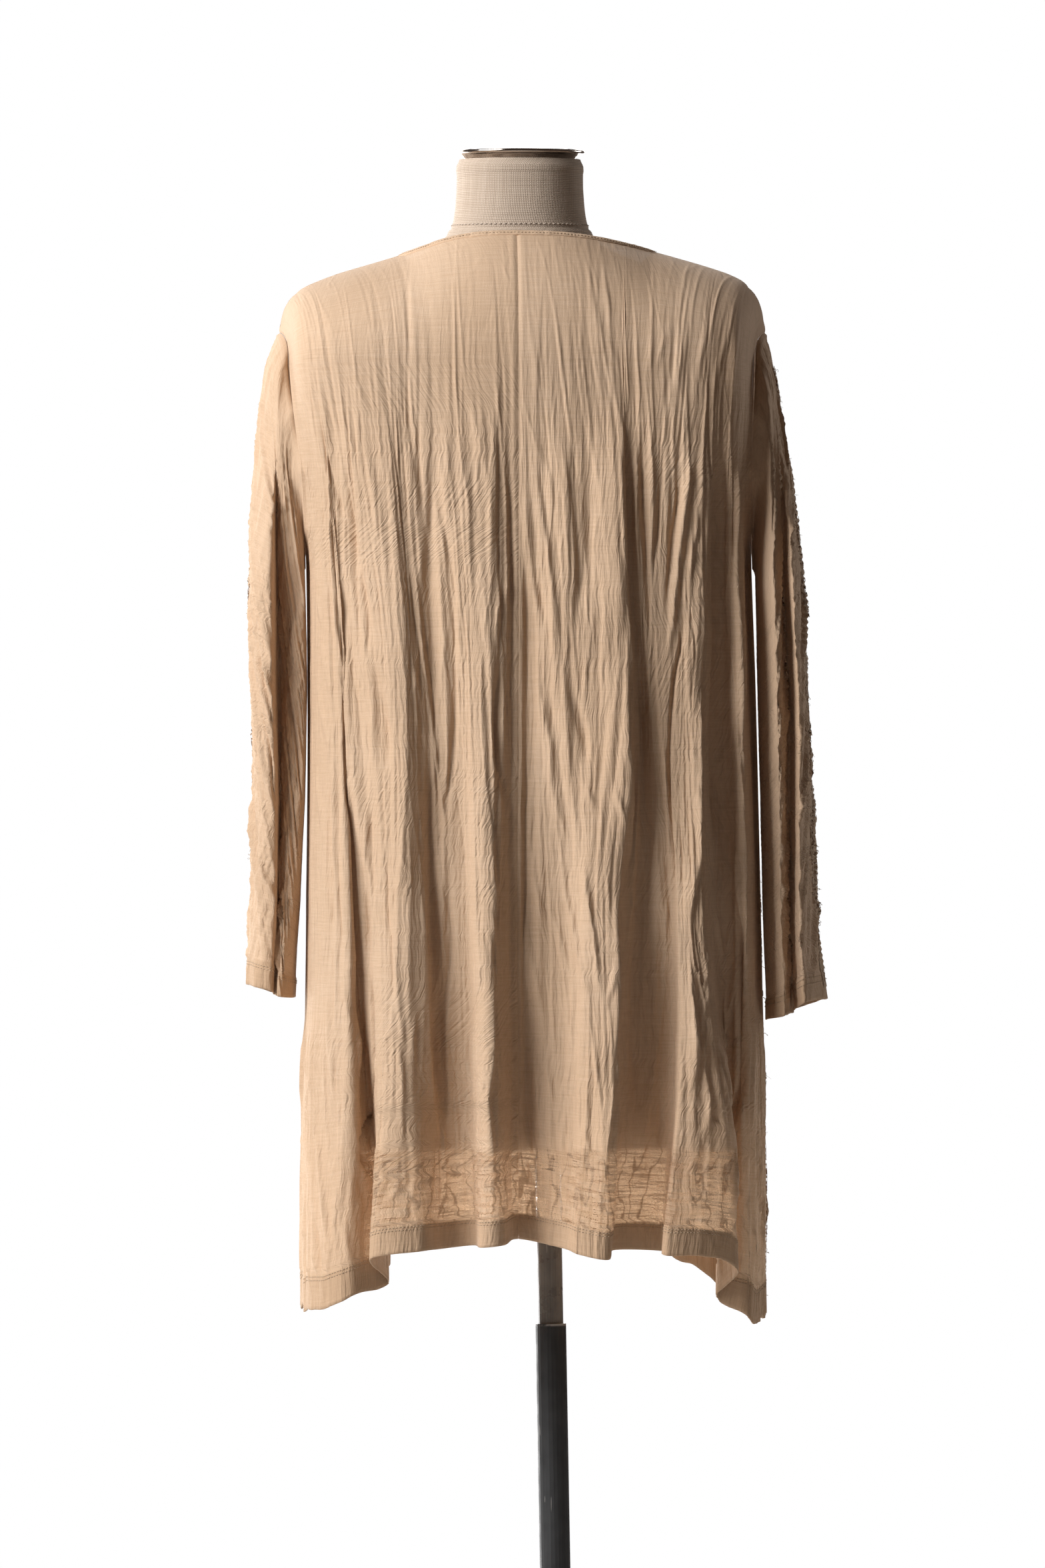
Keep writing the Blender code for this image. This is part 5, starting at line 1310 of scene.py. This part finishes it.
RIGHT_BACK_RELIEF = (
    (6, 12, -4.5, ((3, 1170), (4, 1080), (5, 1000), (5, 940), (4, 870), (3, 820), (3, 760), (4, 700),
        (5, 640), (6, 575))),
    (5, 3, 1.5, ((10, 1345), (11, 1310), (14, 1280), (17, 1250))),
    (5, 3, 1.2, ((37, 1355), (39, 1325), (42, 1300), (45, 1262), (48, 1230), (50, 1190), (53, 1150))),
    (6, 3, 1.6, ((50, 1358), (58, 1345), (66, 1320), (71, 1295), (78, 1275), (84, 1250))),
    (5, 3, 1.2, ((66, 1365), (72, 1350), (77, 1330), (80, 1305))),
    (5, 3, 1.2, ((60, 1352), (66, 1335), (70, 1315), (78, 1295), (86, 1268))),
    (4, 3, 1.2, ((108, 1330), (109, 1305), (106, 1280), (104, 1250))),
    (4, 5, 1.4, ((127, 1335), (121, 1312), (115, 1290), (111, 1268))),
    (4, 5, 1.6, ((141, 1330), (136, 1300), (131, 1275), (126, 1250))),
    (4, 5, 1.6, ((150, 1310), (148, 1290), (147, 1268), (142, 1245))),
    (5, 4, 1.5, ((160, 1335), (155, 1310), (150, 1290), (146, 1268))),
    (5, 4, 1.8, ((182, 1350), (177, 1325), (170, 1300), (163, 1270), (158, 1240))),
    (6, 4, 2.2, ((190, 1345), (184, 1310), (178, 1280), (172, 1245))),
    (8, 4, 3.0, ((3, 1200), (6, 1160), (9, 1120), (13, 1080), (15, 1055))),
    (4, 4, -2.8, ((15, 1118), (18, 1092), (23, 1065))),
    (6, 3, 2.2, ((12, 1232), (17, 1215), (24, 1195), (27, 1170), (33, 1130))),
    (5, 3, 1.8, ((16, 1195), (20, 1155), (25, 1120), (30, 1085), (33, 1045), (33, 1020))),
    (9, 4, 2.6, ((30, 1255), (36, 1220), (38, 1180), (44, 1135), (46, 1118), (43, 1085))),
    (5, 5, -4.0, ((48, 1150), (50, 1112), (50, 1080), (56, 1058))),
    (6, 3, -3.0, ((57, 1215), (58, 1160), (58, 1120), (59, 1085), (60, 1060))),
    (22, 4, 5.0, ((82, 1250), (84, 1200), (86, 1150), (87, 1090), (87, 1040))),
    (22, 4, 6.0, ((87, 1070), (88, 1020), (89, 970), (92, 930), (93, 892), (90, 862))),
    (12, 3, 5.0, ((85, 862), (81, 828), (82, 790), (82, 755), (79, 715), (79, 690))),
    (20, 3, 5.5, ((80, 708), (76, 668), (73, 630), (72, 600), (75, 572), (74, 548))),
    (5, 12, -5.0, ((88, 1240), (91, 1190), (93, 1140), (94, 1090), (98, 1040))),
    (6, 14, -8.0, ((99, 1060), (103, 990), (104, 920), (101, 850), (98, 790), (96, 730), (98, 680),
        (99, 640))),
    (3, 3, 2.4, ((96, 1240), (97, 1195), (97, 1150), (99, 1115), (100, 1085))),
    (5, 5, -4.0, ((106, 1245), (102, 1200), (104, 1150), (107, 1100), (108, 1040))),
    (4, 4, -2.6, ((125, 1248), (119, 1205), (116, 1165), (112, 1125), (108, 1085))),
    (4, 4, 3.6, ((148, 1240), (142, 1205), (138, 1175), (133, 1140), (130, 1105), (126, 1060), (122, 1025))),
    (3, 4, -3.0, ((141, 1225), (135, 1195), (131, 1165), (127, 1140), (123, 1100), (120, 1065))),
    (3, 4, 2.4, ((156, 1245), (151, 1210), (150, 1180), (145, 1142), (140, 1110), (138, 1070))),
    (3, 3, -4.8, ((139, 1085), (133, 1050), (128, 1022), (126, 985), (124, 945), (125, 900), (127, 860),
        (124, 830))),
    (18, 4, 4.5, ((159, 1235), (157, 1190), (155, 1150), (154, 1100), (153, 1060), (152, 1010))),
    (20, 4, 5.5, ((153, 1040), (152, 985), (150, 940), (148, 890), (146, 855), (142, 825), (143, 790))),
    (8, 10, -8.0, ((164, 1235), (167, 1180), (166, 1110), (168, 1050), (165, 990), (166, 930), (168, 880))),
    (10, 4, 4.5, ((184, 1240), (182, 1200), (186, 1160), (190, 1120), (189, 1070), (188, 1010), (189, 960))),
    (8, 4, 2.4, ((14, 1062), (15, 1035), (18, 1005), (23, 980), (27, 950), (31, 915), (36, 885))),
    (3, 5, -3.0, ((27, 1015), (26, 995), (28, 968))),
    (8, 3, 3.0, ((34, 1065), (36, 1030), (39, 995), (42, 955), (46, 910), (52, 880))),
    (9, 3, 3.2, ((50, 892), (55, 858), (60, 825), (64, 790), (67, 765), (69, 742))),
    (5, 4, -4.5, ((45, 1015), (50, 992), (55, 965), (52, 938))),
    (5, 3, 2.0, ((52, 942), (58, 930), (64, 912))),
    (4, 3, 2.4, ((78, 940), (83, 918), (88, 895))),
    (3, 3, 1.8, ((33, 945), (32, 920), (36, 900), (41, 885))),
    (6, 6, 2.0, ((119, 885), (117, 852), (121, 828), (123, 800), (126, 775))),
    (12, 4, 5.5, ((144, 805), (141, 775), (143, 755), (146, 732), (147, 712), (143, 690), (138, 670))),
    (3, 3, 2.6, ((154, 832), (157, 802), (155, 782), (151, 762), (149, 742))),
    (3, 3, 2.4, ((143, 792), (148, 780), (150, 765))),
    (4, 3, 2.4, ((160, 790), (156, 765), (152, 742), (148, 716))),
    (3, 3, 2.0, ((141, 740), (145, 728), (148, 712))),
    (4, 3, 2.0, ((158, 738), (154, 724), (148, 706))),
    (4, 4, 2.4, ((164, 870), (168, 820), (172, 780), (176, 750))),
    (25, 2, 6.5, ((174, 790), (176, 740), (177, 690), (179, 640), (180, 590), (180, 545))),
    (3, 9, -12.0, ((179, 850), (183, 790), (183, 730), (184, 670), (186, 610), (188, 560), (190, 520))),
    (9, 4, 2.8, ((5, 840), (8, 802), (13, 772), (18, 750), (24, 725))),
    (8, 3, 2.2, ((10, 885), (13, 855), (18, 830), (20, 808))),
    (6, 3, 2.4, ((34, 885), (38, 850), (45, 822), (48, 798), (54, 775), (60, 745))),
    (6, 3, 2.2, ((30, 832), (36, 802), (42, 776), (44, 760))),
    (4, 3, 2.2, ((80, 800), (78, 780), (74, 760), (70, 742))),
    (4, 3, 2.0, ((56, 755), (60, 735), (64, 700), (66, 672), (62, 654))),
    (6, 3, 1.8, ((4, 740), (9, 720), (12, 695), (16, 660), (19, 640))),
    (4, 3, 2.4, ((3, 642), (8, 618), (14, 592))),
    (4, 3, 1.8, ((22, 720), (24, 695), (29, 670), (30, 645))),
    (3, 3, 2.2, ((52, 660), (56, 642), (57, 620))),
    (4, 3, 2.6, ((148, 712), (156, 690), (155, 665), (149, 638), (145, 616), (141, 604))),
    (4, 3, 2.0, ((138, 604), (144, 588), (150, 570))),
    (4, 3, 2.2, ((170, 700), (166, 670), (170, 640), (173, 600), (176, 580))),
    (3, 3, 2.4, ((100, 640), (102, 618), (107, 602), (109, 588))),
    (3, 3, 2.0, ((84, 626), (92, 610), (98, 600))),
    (3, 3, 2.0, ((127, 656), (130, 640), (126, 600), (124, 582))),
    (4, 4, 2.4, ((200, 700), (196, 650), (192, 610), (196, 580), (192, 550))),
)
FRONT_RELIEF = (
    (14, 5, 3.2, ((-172, 1150), (-166, 1060), (-163, 960), (-160, 860), (-158, 770))),
    (5, 4, 2.4, ((-150, 1190), (-143, 1130), (-136, 1060), (-130, 990))),
    (8, 8, -4.5, ((-134, 1120), (-126, 1020), (-118, 900), (-115, 780), (-114, 660))),
    (16, 5, 4.0, ((-108, 1180), (-100, 1080), (-92, 960), (-86, 840), (-82, 730))),
    (5, 3, 2.2, ((-92, 1240), (-88, 1170), (-80, 1100), (-76, 1040))),
    (12, 4, 3.6, ((-90, 760), (-86, 690), (-84, 620), (-82, 560))),
    (7, 9, -5.0, ((-58, 1150), (-52, 1040), (-46, 920), (-42, 800), (-40, 690))),
    (6, 3, 2.0, ((-40, 1230), (-34, 1160), (-30, 1080))),
    (15, 5, 4.2, ((-28, 1120), (-22, 1000), (-16, 880), (-12, 760), (-10, 640))),
    (4, 3, 2.4, ((-6, 1010), (2, 940), (6, 870), (4, 800))),
    (8, 8, -5.5, ((20, 1160), (26, 1040), (30, 920), (34, 800), (36, 680), (38, 600))),
    (5, 4, 2.2, ((40, 1240), (46, 1170), (48, 1100))),
    (15, 5, 4.4, ((62, 1140), (66, 1020), (72, 900), (78, 780), (84, 670), (88, 570))),
    (4, 3, 2.0, ((98, 1200), (95, 1130), (97, 1060))),
    (5, 4, 2.6, ((92, 890), (98, 820), (100, 750), (104, 690))),
    (8, 7, -4.8, ((130, 1160), (132, 1040), (134, 920), (138, 800), (142, 680))),
    (14, 5, 3.8, ((172, 1120), (174, 1000), (178, 880), (182, 760), (184, 650))),
    (4, 3, 2.2, ((160, 700), (166, 640), (164, 580), (170, 540))),
    (5, 3, 2.4, ((-150, 660), (-146, 600), (-150, 550))),
)
LEFT_SLEEVE_CREASES = tuple(Crease(*row) for row in (
    (0.06, 40, 0.20, 150, 0.0, 7, 3, 2.4), (0.12, 110, 0.29, 235, 0.01, 6, 3, 2.2),
    (0.04, 190, 0.16, 290, 0, 8, 4, 2.6), (0.14, 250, 0.26, 345, -0.01, 6, 3, 2.4),
    (0.02, 330, 0.13, 430, 0, 6, 3, 2.6), (0.10, 380, 0.22, 470, 0.01, 5, 3, 2.8),
    (0.20, 405, 0.33, 500, 0, 6, 3, 2.4), (0.04, 440, 0.12, 520, -0.01, 4, 3, 2.8),
    (0.30, 430, 0.24, 525, 0, 5, 3, -2.4), (0.16, 470, 0.20, 535, 0.01, 4, 4, -2.6),
    (0.62, 80, 0.74, 220, 0, 8, 4, 2.4), (0.70, 200, 0.84, 330, 0, 7, 3, 2.6),
    (0.60, 300, 0.72, 450, 0.01, 8, 4, 2.4), (0.80, 380, 0.92, 500, 0, 6, 3, 2.6),
    (0.90, 120, 0.97, 260, 0, 7, 4, 2.2)))
RIGHT_SLEEVE_CREASES = tuple(Crease(*row) for row in (
    (0.95, 30, 0.83, 120, 0.0, 4, 7, 2.2), (0.90, 90, 0.74, 210, 0.01, 3, 6, 2.6),
    (0.96, 170, 0.86, 280, 0, 4, 7, 2.4), (0.84, 200, 0.70, 300, -0.01, 3, 6, 2.2),
    (0.92, 270, 0.80, 390, 0, 4, 6, 2.6), (0.78, 330, 0.68, 440, 0.01, 3, 5, 2.2),
    (0.95, 400, 0.85, 500, 0, 3, 5, 2.6), (0.83, 430, 0.74, 530, -0.01, 3, 5, 2.6),
    (0.70, 460, 0.76, 545, 0, 4, 4, -2.6), (0.90, 480, 0.94, 550, 0, 4, 4, -2.4),
    (0.38, 70, 0.26, 200, 0, 4, 8, 2.4), (0.30, 210, 0.15, 350, 0, 4, 7, 2.6),
    (0.40, 330, 0.29, 470, 0.01, 4, 7, 2.4), (0.20, 390, 0.10, 510, 0, 3, 6, 2.6),
    (0.09, 110, 0.03, 250, 0, 4, 6, 2.2)))

# --- everything put together ----------------------------------------------------------------------------

# Panels: node, panel, its first and last fold line, columns, rows of its three stretches, seed and folds
PANELS = (
    ("back_left", BACK, 0, CENTRE_LINE, 262, (62, 190, 76), 11, LEFT_BACK_RELIEF),
    ("back_right", BACK, CENTRE_LINE, len(BACK_FOLDS) - 1, 262, (62, 190, 76), 27, RIGHT_BACK_RELIEF),
    ("front", FRONT, len(FRONT_FOLDS) - 1, 0, 300, (54, 170, 70), 43, FRONT_RELIEF),
)
SLEEVES = (("left", 59, LEFT_SLEEVE_CREASES), ("right", 83, RIGHT_SLEEVE_CREASES))
SLEEVE_COLUMNS, SLEEVE_ROWS = 236, 230
HEM_STITCHES, CUFF_STITCHES = (21.0, 25.0), (15.0, 18.5)  # heights of the two rows above the edge
# Trims: node, what carries it, its place round it, from where to where down it, yarns, their lengths, seed
TRIMS = (
    ("fray_sleeve_left", "sleeve_left", 12.85 / 14, 0.05, 0.985, 100, (1.8, 4.6), 5),
    ("fray_sleeve_right", "sleeve_right", 1 - 0.82 / 14, 0.05, 0.985, 80, (1.6, 4.0), 6),
    ("fray_side_right", "front", 0.025, 0.62, 0.99, 68, (2.5, 6.5), 7),
)


def make_tunic():
    cloth = jersey()
    thread = yarn("sewing_thread", (0.36, 0.26, 0.17), (0.55, 0.42, 0.3))
    frays = (net(), yarn("frayed_yarn", (0.33, 0.22, 0.13), (0.62, 0.46, 0.31)))
    grids, stitches_of = {}, {}
    for name, panel, first, last, columns, rows, seed, folds in PANELS:
        grid, down = panel_cloth(panel, first, last, columns, panel_rows(*rows), seed, folds)
        piece, normals = finish_cloth(name + "_jersey", cloth, grid, hem_rows(down, HEM_DEEP))
        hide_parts(name)
        stitches = hem_stitches(name + "_hem_stitches", thread, grid, normals, down, HEM_STITCHES)
        grids[name], stitches_of[name] = (grid, normals, piece), [stitches]
    for side, seed, creases in SLEEVES:
        name = "sleeve_" + side
        grid, down = sleeve_cloth(side, SLEEVE_COLUMNS, SLEEVE_ROWS, seed, creases)
        doubled = hem_rows(down, CUFF_HEM_DEEP)
        piece, normals = finish_cloth(name + "_jersey", cloth, grid, doubled, closed=True)
        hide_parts(name)
        stitches = hem_stitches(name + "_cuff_stitches", thread, grid, normals, down, CUFF_STITCHES, True)
        grids[name], stitches_of[name] = (grid, normals, piece), [stitches]
    band, seam, out = binding()
    finish_piece(band, cloth, "crinkled_jersey", "neck_binding")
    band_stitches = mesh_object("neck_stitches", *stitch_row(seam, out, closed=True))
    finish_piece(band_stitches, thread, "crinkled_jersey")
    for name, carrier, place, share_from, share_to, count, lengths, seed in TRIMS:
        grid, normals, _ = grids[carrier]
        rows, columns = grid.shape[:2]
        net_piece, yarns = frayed(name, grid, normals, int(place * columns), int(share_from * rows),
                                  int(share_to * rows), count, lengths, seed, carrier != "front", frays)
        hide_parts(name)
        stitches_of[carrier] += [net_piece, yarns]


MAST_TOP, TUBE_TOP = 0.74, 0.484


def make_stand_finishes():
    steel = paint_with_scratches_and_ring("grey_mast", (0.115, 0.105, 0.094), (0.165, 0.152, 0.137), (0.3, 0.28, 0.26, 1),
                       0.32, MAST_TOP)
    black = paint_with_scratches_and_ring("black_tube", (0.017, 0.017, 0.0175), (0.030, 0.030, 0.030), (0.26, 0.24, 0.22, 1),
                       0.5, TUBE_TOP)
    for name, finish in (("mast", steel), ("outer_tube", black), ("foot_plate", black)):
        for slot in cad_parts[name].material_slots:
            slot.material = finish


make_studio()
make_floor()
make_tunic()
form_cover(linen(), yarn("form_thread", (0.42, 0.34, 0.27), (0.6, 0.5, 0.42)))
turned("form_cap", CAP_PROFILE, CAP_SIDES, polished_steel(), "chrome", "neck_cap")
make_stand_finishes()
